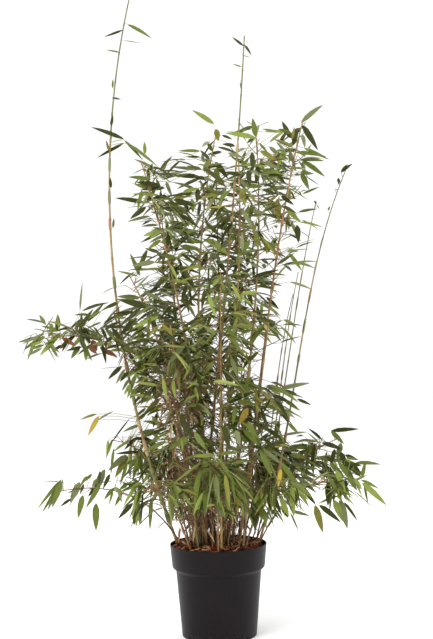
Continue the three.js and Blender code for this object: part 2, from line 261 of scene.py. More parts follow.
def lay(heap, shape, points, mark=0, underMark=None):
    start = heap["count"]
    heap["points"].append(points)
    heap["faces"].extend([tuple(i + start for i in face) for face in shape["faces"]])
    marks = np.full(len(shape["faces"]), mark)
    if underMark is not None:
        marks[shape["under"] == 1] = underMark
    heap["marks"].append(marks)
    heap["count"] += len(points)


def joinHeap(heap, name, materials, nodes, smoothBelow=35):
    mesh = bpy.data.meshes.new(name)
    mesh.from_pydata((np.concatenate(heap["points"]) * mm).tolist(), [], heap["faces"])
    piece = bpy.data.objects.new(name, mesh)
    bpy.context.scene.collection.objects.link(piece)
    placePiece(piece, name, materials, nodes, smoothBelow)
    mesh.polygons.foreach_set("material_index", np.concatenate(heap["marks"]))


def unit(vector):
    return vector / np.linalg.norm(vector, axis=-1, keepdims=True)


def heading(azimuth, elevation):
    level = math.cos(elevation)
    return np.array([math.cos(azimuth) * level, math.sin(azimuth) * level, math.sin(elevation)])


def bezierLine(corners):
    # a cubic curve, with a table that turns a share of its length into its own parameter
    corners = np.array(corners, float)
    steps = np.linspace(0, 1, 201)
    points = bezierPoint(corners, steps)
    lengths = np.concatenate([[0], np.cumsum(np.linalg.norm(np.diff(points, axis=0), axis=1))])
    return {"corners": corners, "steps": steps, "lengths": lengths, "length": lengths[-1]}


def bezierPoint(corners, t):
    t = np.asarray(t)[..., None]
    a, b, c, d = corners
    return (1 - t) ** 3 * a + 3 * (1 - t) ** 2 * t * b + 3 * (1 - t) * t ** 2 * c + t ** 3 * d


def parameterAt(line, share):
    return np.interp(np.asarray(share) * line["length"], line["lengths"], line["steps"])


def pointAt(line, share):
    return bezierPoint(line["corners"], parameterAt(line, share))


def tangentAt(line, share):
    t = parameterAt(line, share)[..., None]
    a, b, c, d = line["corners"]
    slope = 3 * (1 - t) ** 2 * (b - a) + 6 * (1 - t) * t * (c - b) + 3 * t ** 2 * (d - c)
    return unit(slope)


def bentAlong(shape, line, start, end, radii, turn=0):
    # bends a shape along a stretch of a line, with its thickness going from one radius to the other
    x, y, z = shape["points"].T
    share = start + (end - start) * x
    radius = (radii[0] + (radii[1] - radii[0]) * x)[:, None]
    tangent = tangentAt(line, share)
    lean = line["corners"][3] - line["corners"][0]
    side = unit(np.array([-lean[1], lean[0], 0.001]))
    side = unit(side - tangent * (tangent @ side)[:, None])
    front = np.cross(side, tangent)
    across = (y * math.cos(turn) - z * math.sin(turn))[:, None]
    outward = (y * math.sin(turn) + z * math.cos(turn))[:, None]
    return pointAt(line, share) + radius * (side * across + front * outward)


def straightTo(shape, root, end, radii, sag=0):
    # lays a shape on the way from root to end, which sags by a share of its length
    x, y, z = shape["points"].T
    way = end - root
    length = np.linalg.norm(way)
    along = way / length
    side = unit(np.cross(along, [0.02, 0.03, 1]))
    front = np.cross(side, along)
    radius = (radii[0] + (radii[1] - radii[0]) * x)[:, None]
    points = root + way * x[:, None] + radius * (side * y[:, None] + front * z[:, None])
    points[:, 2] -= 4 * sag * length * x * (1 - x)
    return points


def bladePoints(shape, root, azimuth, dip, length, width, droop, roll, fold):
    # lays a leaf with its root at a place. It droops towards its tip and is folded along its rib.
    x, y, z = shape["points"].T
    along = heading(azimuth, dip)
    side = np.array([-math.sin(azimuth), math.cos(azimuth), 0])
    front = np.cross(along, side)
    across = side * math.cos(roll) + front * math.sin(roll)
    above = np.cross(along, across)
    lift = fold * width * np.abs(y) + leafShape["thickness"] * z
    points = root + length * x[:, None] * along + width * y[:, None] * across + lift[:, None] * above
    points[:, 2] -= droop * length * x ** 2
    return points


# Shapes that repeat

leafShape = {"outline": (0.46, 0.97, 0.97, 0.64, 0.23), "thickness": 1.0}
leafRings = len(leafShape["outline"]) + 1

deselectAll()
bpy.ops.mesh.primitive_uv_sphere_add(segments=4, ring_count=leafRings, radius=0.5, location=(0.5, 0, 0),
                                     rotation=(0, math.pi / 2, 0))
bpy.ops.object.transform_apply()
editMode()
for ring, width in enumerate(leafShape["outline"], 1):
    spread = math.sin(math.pi * ring / leafRings)
    place = 0.5 - 0.5 * math.cos(math.pi * ring / leafRings)
    selectWhere("VERT", lambda vertex: abs(vertex.co.x - place) < 0.01)
    bpy.ops.transform.resize(value=(1, width / spread, 0.5 / spread), center_override=(place, 0, 0))
objectMode()
leafUnit = keepShape()


def newRod(sides, rings, ends="NGON"):
    # a cylinder from x = 0 to x = 1 with rings of points along it, left in edit mode
    deselectAll()
    bpy.ops.mesh.primitive_cylinder_add(vertices=sides, radius=1, depth=1, end_fill_type=ends,
                                        location=(0.5, 0, 0), rotation=(0, math.pi / 2, 0))
    bpy.ops.object.transform_apply()
    editMode()
    selectWhere("EDGE", lambda edge: abs(edge.verts[0].co.x - edge.verts[1].co.x) > 0.5)
    bpy.ops.mesh.subdivide(number_cuts=rings - 2)


def shapeRings(profile):
    # moves the rings of a rod to their places and sizes, from its root to its tip
    for ring, (place, size) in enumerate(profile):
        was = ring / (len(profile) - 1)
        selectWhere("VERT", lambda vertex: abs(vertex.co.x - was) < 0.003)
        bpy.ops.transform.resize(value=(1, size, size), center_override=(was, 0, 0))
        bpy.ops.transform.translate(value=(place - was, 0, 0))


# an internode with a ridge at each end, where the culm has its nodes
internodeShape = {"sides": 10, "profile": ((0, 1.2), (0.025, 1.32), (0.07, 1.0), (0.5, 0.96),
                                           (0.92, 1.0), (0.975, 1.08), (1, 1.24))}
newRod(internodeShape["sides"], len(internodeShape["profile"]))
shapeRings(internodeShape["profile"])
objectMode()
internodeUnit = keepShape()

# a papery sheath that wraps most of the way round its culm and ends in a point
sheathShape = {"sides": 8, "profile": ((0, 1.12), (0.3, 1.3), (0.7, 1.25), (1, 0.5)), "thickness": 0.12}
newRod(sheathShape["sides"], len(sheathShape["profile"]), "NOTHING")
shapeRings(sheathShape["profile"])
selectWhere("FACE", lambda face: face.normal.y < -0.4)
bpy.ops.mesh.delete(type="FACE")
objectMode()
applyModifier("SOLIDIFY", {"thickness": sheathShape["thickness"], "offset": 1})
sheathUnit = keepShape()

twigShape = {"sides": 4, "rings": 3}
newRod(twigShape["sides"], twigShape["rings"])
objectMode()
twigUnit = keepShape()


def chipShape(size, bevel, seed):
    # a flat splinter with broken edges, one unit long and centred on its place
    deselectAll()
    bpy.ops.mesh.primitive_cube_add(size=1)
    editMode()
    bpy.ops.mesh.select_all(action="SELECT")
    bpy.ops.transform.resize(value=size)
    bpy.ops.mesh.bevel(offset=bevel, segments=1)
    bpy.ops.mesh.select_all(action="SELECT")
    bpy.ops.transform.vertex_random(offset=0.05, seed=seed)
    objectMode()
    return keepShape()


chipUnits = [chipShape((1, 0.5, 0.2), 0.07, 3), chipShape((1, 0.34, 0.16), 0.05, 8),
             chipShape((1, 0.7, 0.26), 0.09, 21)]
splinterUnit = chipShape((1, 0.16, 0.05), 0.02, 5)
print("shapes that repeat are ready")


# The pot

potShape = {
    "segments": 96,
    # radius and height of each ring, from the raised underside round the foot and rim to the floor
    "rings": ((72, 3.5), (78.5, 3.5), (80, 0.5), (80.6, 0), (87.6, 0), (88.5, 1), (101.2, 152),
              (101.5, 154), (102.3, 155.6), (108.9, 161.8), (109.8, 163.2), (110.2, 165.5),
              (114.9, 215), (114.9, 216.3), (114.3, 217), (113.6, 217), (113.1, 216.3), (113, 215),
              (108.2, 165), (100, 156), (87, 6), (84, 4.8), (60, 4.8)),
    "notch": {"width": 24, "length": 24, "height": 5, "ring": 88, "rounding": 2.5,
              "azimuths": (-47, 43, 133, 223)},
    "drain": {"radius": 6, "ring": 58, "count": 8, "sides": 24, "depth": 20},
}

turnedShape(potShape["segments"], potShape["rings"])
objectMode()
potPiece = bpy.context.object

# drainage: notches across the foot, and round holes through the floor
cutters = []
notch, drain = potShape["notch"], potShape["drain"]
for azimuth in notch["azimuths"]:
    deselectAll()
    bpy.ops.mesh.primitive_cube_add(
        size=1, location=notch["ring"] * mm * heading(azimuth * degree, 0),
        rotation=(0, 0, azimuth * degree),
        scale=(notch["length"] * mm, notch["width"] * mm, 2 * notch["height"] * mm))
    editMode()
    selectWhere("FACE", lambda face: face.normal.z > 0.5)
    bpy.ops.mesh.select_mode(type="EDGE")
    bpy.ops.mesh.bevel(offset=notch["rounding"] * mm, segments=3)
    objectMode()
    cutters.append(bpy.context.object)
for i in range(drain["count"]):
    bpy.ops.mesh.primitive_cylinder_add(
        vertices=drain["sides"], radius=drain["radius"] * mm, depth=drain["depth"] * mm,
        location=drain["ring"] * mm * heading(2 * math.pi * i / drain["count"], 0))
    cutters.append(bpy.context.object)
for cutter in cutters:
    deselectAll()
    potPiece.select_set(True)
    bpy.context.view_layer.objects.active = potPiece
    applyModifier("BOOLEAN", {"operation": "DIFFERENCE", "solver": "EXACT", "object": cutter})
    bpy.data.objects.remove(cutter)
placePiece(potPiece, "nurseryPot", [mouldedPolypropylene()], ["pot"])


# The peat and its mulch

peatShape = {"segments": 72, "bottom": (108.3, 168), "top": (111.5, 205), "rings": 8, "ringWidth": 12,
             "mound": 1.1, "crumble": 5, "crumbleSize": 11, "smoothEdge": 3}

turnedShape(peatShape["segments"], (peatShape["bottom"], peatShape["top"]))
selectWhere("FACE", lambda face: face.normal.z > 0.9)
for i in range(peatShape["rings"]):
    bpy.ops.mesh.inset(thickness=peatShape["ringWidth"] * mm, depth=peatShape["mound"] * mm)
bpy.ops.mesh.poke()
selectWhere("FACE", lambda face: face.normal.z > 0.5)
bpy.ops.mesh.subdivide(number_cuts=1)
objectMode()
peatPiece = bpy.context.object
topPoints = peatPiece.vertex_groups.new(name="top")
inner = (peatShape["top"][0] - peatShape["smoothEdge"]) * mm
topPoints.add([v.index for v in peatPiece.data.vertices
               if v.co.z > peatShape["top"][1] * mm - 1e-5 and math.hypot(v.co.x, v.co.y) < inner],
              1, "REPLACE")
crumble = bpy.data.textures.new("crumble", "CLOUDS")
crumble.noise_scale = peatShape["crumbleSize"] * mm
applyModifier("DISPLACE", {"texture": crumble, "strength": peatShape["crumble"] * mm,
                           "texture_coords": "LOCAL", "vertex_group": "top"})
placePiece(peatPiece, "peat", [roughStuff("damp peat compost", "#1c0f09", "#3d2417", 6, 1.2)],
           ["soil"])


def moundHeight(radius):
    rings = (peatShape["top"][0] - radius) / peatShape["ringWidth"]
    return peatShape["top"][1] + peatShape["mound"] * min(max(rings, 0), peatShape["rings"])


# each kind's lengths, its widths as shares of the shape's own, and the barks that it is of; lift is how
# far above the peat they lie, and tip and tilt how many degrees they lean along and across
mulchLook = {
    "chips": {"count": 1250, "lengths": (6, 19), "widths": (0.7, 1.2), "barks": (0, 0, 0, 1, 1, 2)},
    "splinters": {"count": 280, "lengths": (12, 34), "widths": (0.7, 1.4), "barks": (3, 3, 2)},
    "lift": (0.5, 9), "thick": (0.7, 1), "edge": 111, "tip": 13, "tilt": 16, "seed": 5,
}


def scatterChips(heap, units, look, draw):
    for i in range(look["count"]):
        shape = draw.choice(units)
        length = draw.uniform(*look["lengths"])
        radius = (mulchLook["edge"] - length / 2) * math.sqrt(draw.random())
        azimuth = draw.uniform(0, 2 * math.pi)
        turn = draw.uniform(0, 2 * math.pi)
        tip, tilt = draw.gauss(0, mulchLook["tip"]) * degree, draw.gauss(0, mulchLook["tilt"]) * degree
        size = [1, draw.uniform(*look["widths"]), draw.uniform(*mulchLook["thick"])]
        x, y, z = (shape["points"] * size * length).T
        y, z = y * math.cos(tilt) - z * math.sin(tilt), y * math.sin(tilt) + z * math.cos(tilt)
        x, z = x * math.cos(tip) - z * math.sin(tip), x * math.sin(tip) + z * math.cos(tip)
        x, y = x * math.cos(turn) - y * math.sin(turn), x * math.sin(turn) + y * math.cos(turn)
        height = moundHeight(radius) + draw.uniform(*mulchLook["lift"]) + abs(math.sin(tip)) * length / 2
        place = radius * heading(azimuth, 0) + [0, 0, height]
        lay(heap, shape, np.stack([x, y, z], 1) + place, draw.choice(look["barks"]))


mulchHeap = newHeap()
mulchDraw = random.Random(mulchLook["seed"])
scatterChips(mulchHeap, chipUnits, mulchLook["chips"], mulchDraw)
scatterChips(mulchHeap, [splinterUnit], mulchLook["splinters"], mulchDraw)
joinHeap(mulchHeap, "barkMulch", [
    roughStuff("red-brown pine bark", "#4c1d0e", "#8c4728", 2.5, 0.5),
    roughStuff("dark pine bark", "#1d0c07", "#42200f", 2.5, 0.5),
    roughStuff("weathered pine bark", "#6c422c", "#a87656", 2.5, 0.4),
    roughStuff("pale wood splinters", "#a47f5a", "#d8bd97", 2, 0.3, 0.85),
], [], 25)


# The canes, from the same sizes as the solids

soilTop = 206.3  # of the solid soil, where the canes' feet are
# The canes that the photo shows, by tier: foot, tip, how far the lower and the upper part bow out of the
# straight way, width at the foot and, of those with ruled twigs, the share of the cane below them, the
# twigs' reach, their number and the sprays on each
caneSizes = ("foot", "tip", "bow", "curl", "base", "leafy", "reach", "twigs", "sprays")
shownCanes = {
    "whip": {
        "tall_left": ((-96, 30), (-182, -20, 1541), (-130, 0, -15), (-140, 0, 16), 6.5),
        "tall_middle": ((-43, -15), (80, -70, 1406), (5, 0, 15), (15, 0, 0), 6.5),
        "tall_right": ((95, 20), (330, 60, 1119), (29, 0, -11), (-52, 0, 19), 6)},
    "shoot": {
        "shoot_outer": ((90, 47), (254, 90, 1036), (19, 0, 4), (-13, 0, 0), 4),
        "shoot_middle": ((79, 30), (209, 118, 863), (28, 0, 0), (-8, 0, 0), 4),
        "shoot_inner": ((68, 54), (197, 145, 809), (32, 0, 0), (-15, 0, 0), 4)},
    "upper": {
        "upper_left": ((-44, 20), (-210, 90, 865), (15, 0, 6), (57, 0, 13), 5.5, 0.55, 65, 14, 5),
        "upper_front_left": ((-29, -25), (-162, -110, 1112), (44, 0, 28), (40, 0, 14), 6.5,
                             0.58, 65, 14, 5),
        "upper_middle": ((-10, 20), (10, 40, 1195), (-38, 0, 16), (-66, 0, 0), 6.5, 0.6, 65, 14, 5),
        "upper_front": ((6, -20), (60, -150, 1104), (0, 0, 18), (28, 0, 6), 6, 0.6, 65, 14, 5),
        "upper_back_right": ((23, 20), (109, 125, 1225), (19, 0, 0), (51, 0, -10), 6.5, 0.62, 65, 14, 5),
        "upper_right": ((47, -10), (215, -55, 1215), (3, 0, 9), (-29, 0, 11), 6.5, 0.58, 65, 14, 5),
        "upper_back": ((15, 50), (10, 235, 1110), (0, 0, 15), (0, 30, 0), 6, 0.58, 70, 11, 5),
        "upper_back_left": ((-40, 48), (-140, 205, 1050), (0, 0, 15), (20, 20, 0), 6, 0.58, 70, 11, 5)},
    "arch": {
        "arch_left": ((-62, -6), (-425, -60, 705), (145, -10, 101), (153, -20, 240), 5.5,
                      0.48, 60, 24, 5)},
    "lower": {
        "low_left_outer": ((-80, -25), (-385, -50, 350), (30, 0, 90), (30, 0, 75), 4, 0.45, 50, 18, 4),
        "low_left_upper": ((-70, 62), (-260, 110, 455), (30, 0, 60), (30, 0, 75), 4, 0.5, 45, 14, 4),
        "low_right_outer": ((92, -20), (325, -60, 350), (-20, 0, 90), (-10, 0, 90), 4, 0.45, 60, 18, 5),
        "low_right_upper": ((88, 34), (300, 70, 455), (-15, 0, 55), (-20, 0, 55), 4, 0.5, 55, 16, 4)},
}
# the canes that fill the clump all round
rings = {
    "middle": {"azimuths": (-125, -85, -45, 62, 110), "footRadius": 80, "tipRadius": 175,
               "height": 800, "stagger": 60, "arch": 20, "base": 5.5, "leafy": 0.36, "tier": "middle",
               "reach": 80, "twigs": 28, "sprays": 5},
    "low": {"azimuths": (-130, -90, -52, 50, 90, 130), "footRadius": 97, "tipRadius": 255,
            "height": 400, "stagger": 30, "arch": 75, "base": 4, "leafy": 0.42, "tier": "lower",
            "reach": 60, "twigs": 20, "sprays": 4, "tints": (38, 40, 16, 3, 5, 0.1, 0.2)},
}
# rise, toss, hang, sway and leafLength are the solids' own: how steeply the twigs rise, how far the
# leaves hang, and how many degrees each strays. A spray bears some blades, each with its length, and its
# width as a share of that. level is how much of the spray's dip they keep, and stir how many degrees
# they stray from it. more is the number of finer twigs to each of the solids' own, inward the share of
# those that turn to the clump's heart, and climb the angles at which they rise. tints says how often a
# spray has each tint, and crowded what part of the solids' own twigs is kept where they crowd at a tip.
tiers = {
    "upper": {
        "rise": 30, "toss": 18, "hang": 8, "sway": 42, "leafLength": 98, "blades": (1, 1, 2, 2, 3),
        "blade": (42, 76), "slender": (0.135, 0.19), "level": 0.8, "stir": 25, "more": 2, "inward": 0.3,
        "climb": (-10, 65), "tints": (44, 24, 8, 18, 6, 0.4, 0.2)},
    "middle": {
        "rise": 22, "toss": 18, "hang": 22, "sway": 38, "leafLength": 104, "blades": (1, 1, 2, 2, 3),
        "blade": (46, 82), "slender": (0.13, 0.175), "level": 0.65, "stir": 28, "more": 2, "inward": 0.55,
        "climb": (-25, 60), "tints": (38, 23, 19, 12, 8, 0.4, 0.2)},
    "arch": {
        "rise": 30, "toss": 18, "hang": 0, "sway": 50, "leafLength": 88, "blades": (1, 1, 2, 2, 3),
        "blade": (40, 66), "slender": (0.16, 0.21), "level": 0.8, "stir": 24, "more": 1, "inward": 0,
        "climb": (-30, 60), "tints": (42, 26, 8, 14, 8, 0.4, 0.6)},
    "lower": {
        "rise": 15, "toss": 40, "hang": 34, "sway": 36, "leafLength": 100, "blades": (1, 1, 1, 2, 2),
        "blade": (40, 80), "slender": (0.13, 0.18), "level": 1, "stir": 40, "more": 3, "inward": 0.35,
        "climb": (-50, 75), "tints": (32, 35, 27, 2, 4, 0, 0.2), "crowded": {"from": 0.7, "kept": 0.35}},
}

canes = {}
for tierName, group in shownCanes.items():
    for name, sizes in group.items():
        canes[name] = {"tier": tierName, **dict(zip(caneSizes, sizes))}
for ringName, ring in rings.items():
    for i, azimuth in enumerate(ring["azimuths"]):
        x, y = math.cos(azimuth * degree), math.sin(azimuth * degree)
        height = ring["height"] + ring["stagger"] * (1 if i % 2 else -1)
        lift = (0, 0, ring["arch"])
        canes[f"{ringName}_{i + 1}"] = {
            **ring, "foot": (x * ring["footRadius"], y * ring["footRadius"]),
            "tip": (x * ring["tipRadius"], y * ring["tipRadius"], height), "bow": lift, "curl": lift}

for cane in canes.values():
    foot = np.array([*cane["foot"], soilTop])
    tip = np.array(cane["tip"], float)
    cane["line"] = bezierLine([foot, foot + (tip - foot) / 3 + cane["bow"],
                               foot + (tip - foot) * 2 / 3 + cane["curl"], tip])

culmLook = {
    "tipRadius": 0.95,
    "stout": ("tall_left", "tall_middle", "upper"), "stoutTipRadius": 1.35, "stouter": 1.2,
    # internodes are short at the foot, long in the middle and shorter again near the tip
    "spacing": (42, 74), "swell": (0.12, 0.8), "varied": (0.85, 1.15), "lastFrom": 0.965,
    # the skins that a culm's internodes have, where the photo shows them; the others are dealt out
    "skins": {"tall_left": (0, 1, 2), "tall_middle": (0, 0, 2), "tall_right": (0, 0, 1),
              "shoot_outer": (0,), "shoot_middle": (0,), "shoot_inner": (0,), "arch_left": (2,),
              "upper_front_left": (2,), "upper_middle": (1, 1, 2), "upper_back_right": (2,),
              "upper_right": (2, 2, 1)},
    "dealt": (0, 1, 2, 2), "dealtLow": (2, 3, 3),
    "greenAbove": 0.72,  # the young end of a whip is green and has no sheaths
    "seed": 17,
}
# the share of the nodes that keep a sheath, its length and how far it reaches up its internode
sheathLook = {"share": 0.5, "length": (16, 40), "hues": (0, 0, 1, 3), "ofSpacing": 0.85,
              "whipShare": 0.85, "whipHues": (0, 0, 1, 2, 2), "looseness": (1.15, 1.1)}


def radiusOf(name, share):
    stout = name.startswith(culmLook["stout"])
    base = canes[name]["base"] / 2 * (culmLook["stouter"] if stout else 1)
    return base + (culmLook["stoutTipRadius" if stout else "tipRadius"] - base) * share


culmHeap = newHeap()
sheathHeap = newHeap()
culmDraw = random.Random(culmLook["seed"])
for name, cane in canes.items():
    line = cane["line"]
    whip = cane["tier"] in ("whip", "shoot")
    dealt = culmLook["dealtLow" if cane["tier"] == "lower" else "dealt"]
    skins = culmLook["skins"].get(name, (culmDraw.choice(dealt),))
    share = 0
    while share < 1:
        (low, high), (first, spread) = culmLook["spacing"], culmLook["swell"]
        spacing = low + (high - low) * math.sin(math.pi * (share * spread + first))
        spacing *= culmDraw.uniform(*culmLook["varied"])
        end = share + spacing / line["length"]
        if end > culmLook["lastFrom"]:
            end = 1
        ends = (radiusOf(name, share), radiusOf(name, end))
        young = whip and share > culmLook["greenAbove"]
        skin = 0 if young else culmDraw.choice(skins)
        lay(culmHeap, internodeUnit, bentAlong(internodeUnit, line, share, end, ends), skin)
        chance = 0 if young else sheathLook["whipShare" if whip else "share"]
        if culmDraw.random() < chance and end < 1:
            length = min(culmDraw.uniform(*sheathLook["length"]), sheathLook["ofSpacing"] * spacing)
            hue = culmDraw.choice(sheathLook["whipHues" if whip else "hues"])
            top = end + length / line["length"]
            loose, looser = sheathLook["looseness"]
            radii = (radiusOf(name, end) * loose, radiusOf(name, top) * looser)
            lay(sheathHeap, sheathUnit, bentAlong(sheathUnit, line, end, min(top, 1), radii,
                                                  culmDraw.uniform(0, 2 * math.pi)), hue)
        share = end

# thin stems that fill the heart of the clump: young ones, and dead ones left standing at the left
stemLook = {"footRadius": 68, "sunk": 4, "radii": (0.7, 1.8), "taper": 0.7, "spacing": 55,
            "lean": (0.2, 1), "steepestLean": 0.4, "sway": 1.4, "seed": 23}
stemKinds = [{"count": 110, "heights": (50, 300), "sector": (0, 360), "skins": (1, 2, 3, 3, 3)},
             {"count": 22, "heights": (260, 520), "sector": (140, 270), "skins": (2, 2, 3)}]
stemDraw = random.Random(stemLook["seed"])
for kind in stemKinds:
    for i in range(kind["count"]):
        azimuth = stemDraw.uniform(*kind["sector"]) * degree
        radius = stemLook["footRadius"] * math.sqrt(stemDraw.random())
        foot = radius * heading(azimuth, 0) + [0, 0, soilTop - stemLook["sunk"]]
        height = stemDraw.uniform(*kind["heights"])
        lean = height * stemLook["steepestLean"] * stemDraw.uniform(*stemLook["lean"])
        sway = stemDraw.uniform(-stemLook["sway"], stemLook["sway"])
        tip = foot + lean * heading(azimuth + sway, 0) + [0, 0, height]
        line = bezierLine([foot, foot + [0, 0, height / 3], tip - (tip - foot) / 3, tip])
        thick = stemDraw.uniform(*stemLook["radii"])
        joints = max(2, round(height / stemLook["spacing"]))
        skin = stemDraw.choice(kind["skins"])
        for k in range(joints):
            ends = [thick * (1 - stemLook["taper"] * at / joints) for at in (k, k + 1)]
            points = bentAlong(internodeUnit, line, k / joints, (k + 1) / joints, ends)
            lay(culmHeap, internodeUnit, points, skin)

caneNodes = [f"cane_{name}" for name in canes]
joinHeap(culmHeap, "culms", [
    growingSkin("green bamboo culm", "#4d5129", "#7d7a45", 3, 0.4, 0.1),
    growingSkin("ripened bamboo culm", "#7d6534", "#b0905a", 3, 0.4, 0.1),
    growingSkin("sunburnt bamboo culm", "#664a30", "#a57f54", 3, 0.45, 0.1),
    growingSkin("dead bamboo stem", "#33251a", "#644b34", 3, 0.6, 0.2),
], caneNodes)
joinHeap(sheathHeap, "sheaths", [
    growingSkin("dry papery sheath", "#8c7250", "#b89d75", 2, 0.6, 0.15),
    growingSkin("rust-coloured sheath", "#825a3f", "#ae835e", 2, 0.6, 0.15),
    growingSkin("green sheath", "#626838", "#858a55", 2, 0.45, 0.15),
    growingSkin("old brown sheath", "#5d4334", "#8d6c54", 2, 0.65, 0.15),
], [])


# The foliage, by the rule that the solids follow, carried on to fine twigs and single leaves

# what the solids' rule says of every twig, with stray, twist and roll in radians and spreads in degrees
twigRule = {"goldenAngle": math.pi * (3 - math.sqrt(5)), "stray": 0.4, "shortest": 0.6, "spread": 50,
            "spreadToss": 20, "twist": 0.25, "smallest": 0.75, "step": 0.18, "roll": 0.9}


def seeded(seed):
    state = [seed]

    def draw():
        state[0] = (state[0] * 1664525 + 1013904223) % 2 ** 32
        return state[0] / 2 ** 32
    return draw


def sideOf(k):
    # the first leaf or spray goes on from its twig, and the others stand in turn to its left and right
    return 0 if k == 0 else (1 if k % 2 else -1)


def twigFrom(cane, share, azimuth, rise, size):
    # from a share of the cane's leafy part, and shorter towards its tip
    root = pointAt(cane["line"], cane["leafy"] + (1 - cane["leafy"]) * share)
    length = cane["reach"] * (1 - 0.5 * share * share) * size
    return {"root": root, "end": root + heading(azimuth, rise) * length, "sprays": []}


def twigsOf(cane, seed):
    # the same draws in the same order as the solids' rule
    draw = seeded(seed)

    def vary(amount):
        return (draw() * 2 - 1) * amount

    def shrunk(smallest):
        return smallest + (1 - smallest) * draw()
    turn = draw() * math.pi * 2
    tier = tiers[cane["tier"]]
    twigs = []
    for i in range(cane["twigs"]):
        azimuth = turn + twigRule["goldenAngle"] * i + vary(twigRule["stray"])
        rise = (tier["rise"] + vary(tier["toss"])) * degree
        twig = twigFrom(cane, (i + 0.5) / cane["twigs"], azimuth, rise, shrunk(twigRule["shortest"]))
        way = twig["end"] - twig["root"]
        for k in range(cane["sprays"]):
            spread = sideOf(k) * (twigRule["spread"] + vary(twigRule["spreadToss"])) * degree
            twig["sprays"].append({
                "root": twig["root"] + way * (1 - twigRule["step"] * k),
                "azimuth": azimuth + (spread + vary(twigRule["twist"])),
                "dip": -(tier["hang"] + vary(tier["sway"])) * degree,
                "size": tier["leafLength"] * shrunk(twigRule["smallest"]),
                "roll": vary(twigRule["roll"]),
            })
        twigs.append(twig)
    return twigs


# A spray's stalk is a part of its length, and keeps a part of its dip. The blades start a step apart,
# fan out to its sides and stray, and none hangs more steeply than steepest.
sprayLook = {
    "stalk": (0.22, 0.42),
    "dipKept": 0.6, "lift": (0, 22), "twigRadii": (1.1, 0.7), "stalkRadii": (0.6, 0.45), "sag": 0.02,
    "step": 0.34, "fan": (28, 70), "stray": 10, "steepest": -82, "roll": 0.5, "overlap": 0.6,
    "droop": (0.02, 0.16), "fold": (0.1, 0.45), "beyondSolids": 8, "seed": 31,
}
# the twigs between the solids' own: where on a cane they start, and their lengths by its own reach
finerLook = {"starts": (-0.1, 0.85), "lengths": (0.35, 0.85), "turn": 60, "sprays": (2, 3), "step": 0.3,
             "spread": 50, "stray": 25, "size": (0.7, 0.95), "roll": 0.9}
# upper side and underside of each tint
leafTints = {
    "deep green": ("#34390f", "#565a2a"),
    "mid green": ("#5b6729", "#7b8343"),
    "fresh green": ("#76833a", "#909750"),
    "grey-green": ("#686e46", "#90946a"),
    "olive": ("#73702c", "#898347"),
    "yellow": ("#a88f36", "#b5a553"),
    "rust": ("#74482c", "#855c40"),
}
tintNames = list(leafTints)
deep, mid, fresh, grey, olive, yellow, rust = tintNames
# Where the photo shows sky, or stems behind few leaves: the span across, the span in height, the part of
# the leaves that is left out there and, where the far side keeps its leaves, how far back that goes
openPatches = [
    # brown twigs at the left
    (-155, -45, 250, 640, 0.7, 80),
    # sky beside the bare shoots
    (88, 215, 590, 700, 1),
    (152, 215, 465, 750, 0.4),
    (55, 90, 600, 710, 0.6),
    (150, 250, 790, 855, 0.8),
    # the clump's foot
    (-95, 165, 200, 305, 1),
    (-95, 20, 305, 335, 0.8),
    # left of the pot
    (-185, -90, 200, 290, 0.95),
    # low left, in single sprays
    (-440, -200, 240, 400, 0.95, 40),
    (-440, -270, 240, 400, 0.8),
    (-300, -190, 240, 342, 1),
    (-290, -180, 412, 465, 0.9),
    # low right, in single sprays
    (150, 420, 240, 335, 0.85, 60),
    (190, 260, 315, 372, 1),
    (298, 350, 310, 372, 0.8),
    (240, 400, 405, 470, 1),
    # under the arching cane, and over its tip
    (-335, -220, 590, 668, 0.7),
    (-475, -330, 712, 755, 0.6),
    (-460, -240, 640, 760, 0.35),
    (-475, -415, 690, 750, 0.8),
    # the crown's left edge
    (-280, -135, 850, 990, 0.85),
    (-275, -180, 795, 850, 0.8),
    (-235, -178, 990, 1135, 0.95),
    (-90, -30, 1080, 1185, 0.8),
    (-180, -130, 1125, 1180, 0.7),
    # the crown's right edge
    (195, 300, 935, 1085, 0.75),
    (195, 300, 1175, 1240, 1),
    (220, 300, 1080, 1175, 0.8),
    (105, 160, 935, 990, 0.6),
    (150, 300, 845, 935, 0.65),
    # between two tips of the crown
    (100, 158, 1125, 1230, 1),
    (10, 60, 1030, 1180, 0.7),
    # in front of yellow leaves
    (50, 92, 490, 550, 1, -110),
    (36, 66, 270, 345, 0.9, -120),
]


def thinnedAt(place, draw):
    x, y, z = place
    share = max([part for left, right, low, high, part, *back in openPatches
                 if left < x < right and low < z < high and not (back and y >= back[0])], default=0)
    return draw.random() < share


# the stretches of culm that show in front of the leaves, and the room to each side of them
bareCulms = [("tall_left", 0, 0.35, 26), ("tall_middle", 0.5, 0.9, 7), ("tall_middle", 0.22, 0.5, 18),
             ("tall_right", 0.15, 0.45, 9), ("upper_front_left", 0.55, 0.9, 7),
             ("upper_middle", 0.55, 0.85, 7), ("upper_back_right", 0.6, 0.9, 7),
             ("upper_right", 0.55, 0.95, 7)]
bareStretches = [(pointAt(canes[name]["line"], np.linspace(start, end, 40)).T, room)
                 for name, start, end, room in bareCulms]


def hidesCulm(place):
    across, depth, height = place
    return any(z[0] < height < z[-1] and depth < np.interp(height, z, y)
               and abs(across - np.interp(height, z, x)) < room for (x, y, z), room in bareStretches)


# where the photo shows a turned leaf, in x and height; how near to that it belongs, and how far back
turnedLeaves = {
    yellow: [(12, 998), (146, 452)],
    rust: [(125, 1138), (-42, 1095), (146, 1019), (-120, 560), (-320, 690)],
}
turnedLook = {"near": 16, "back": 40}


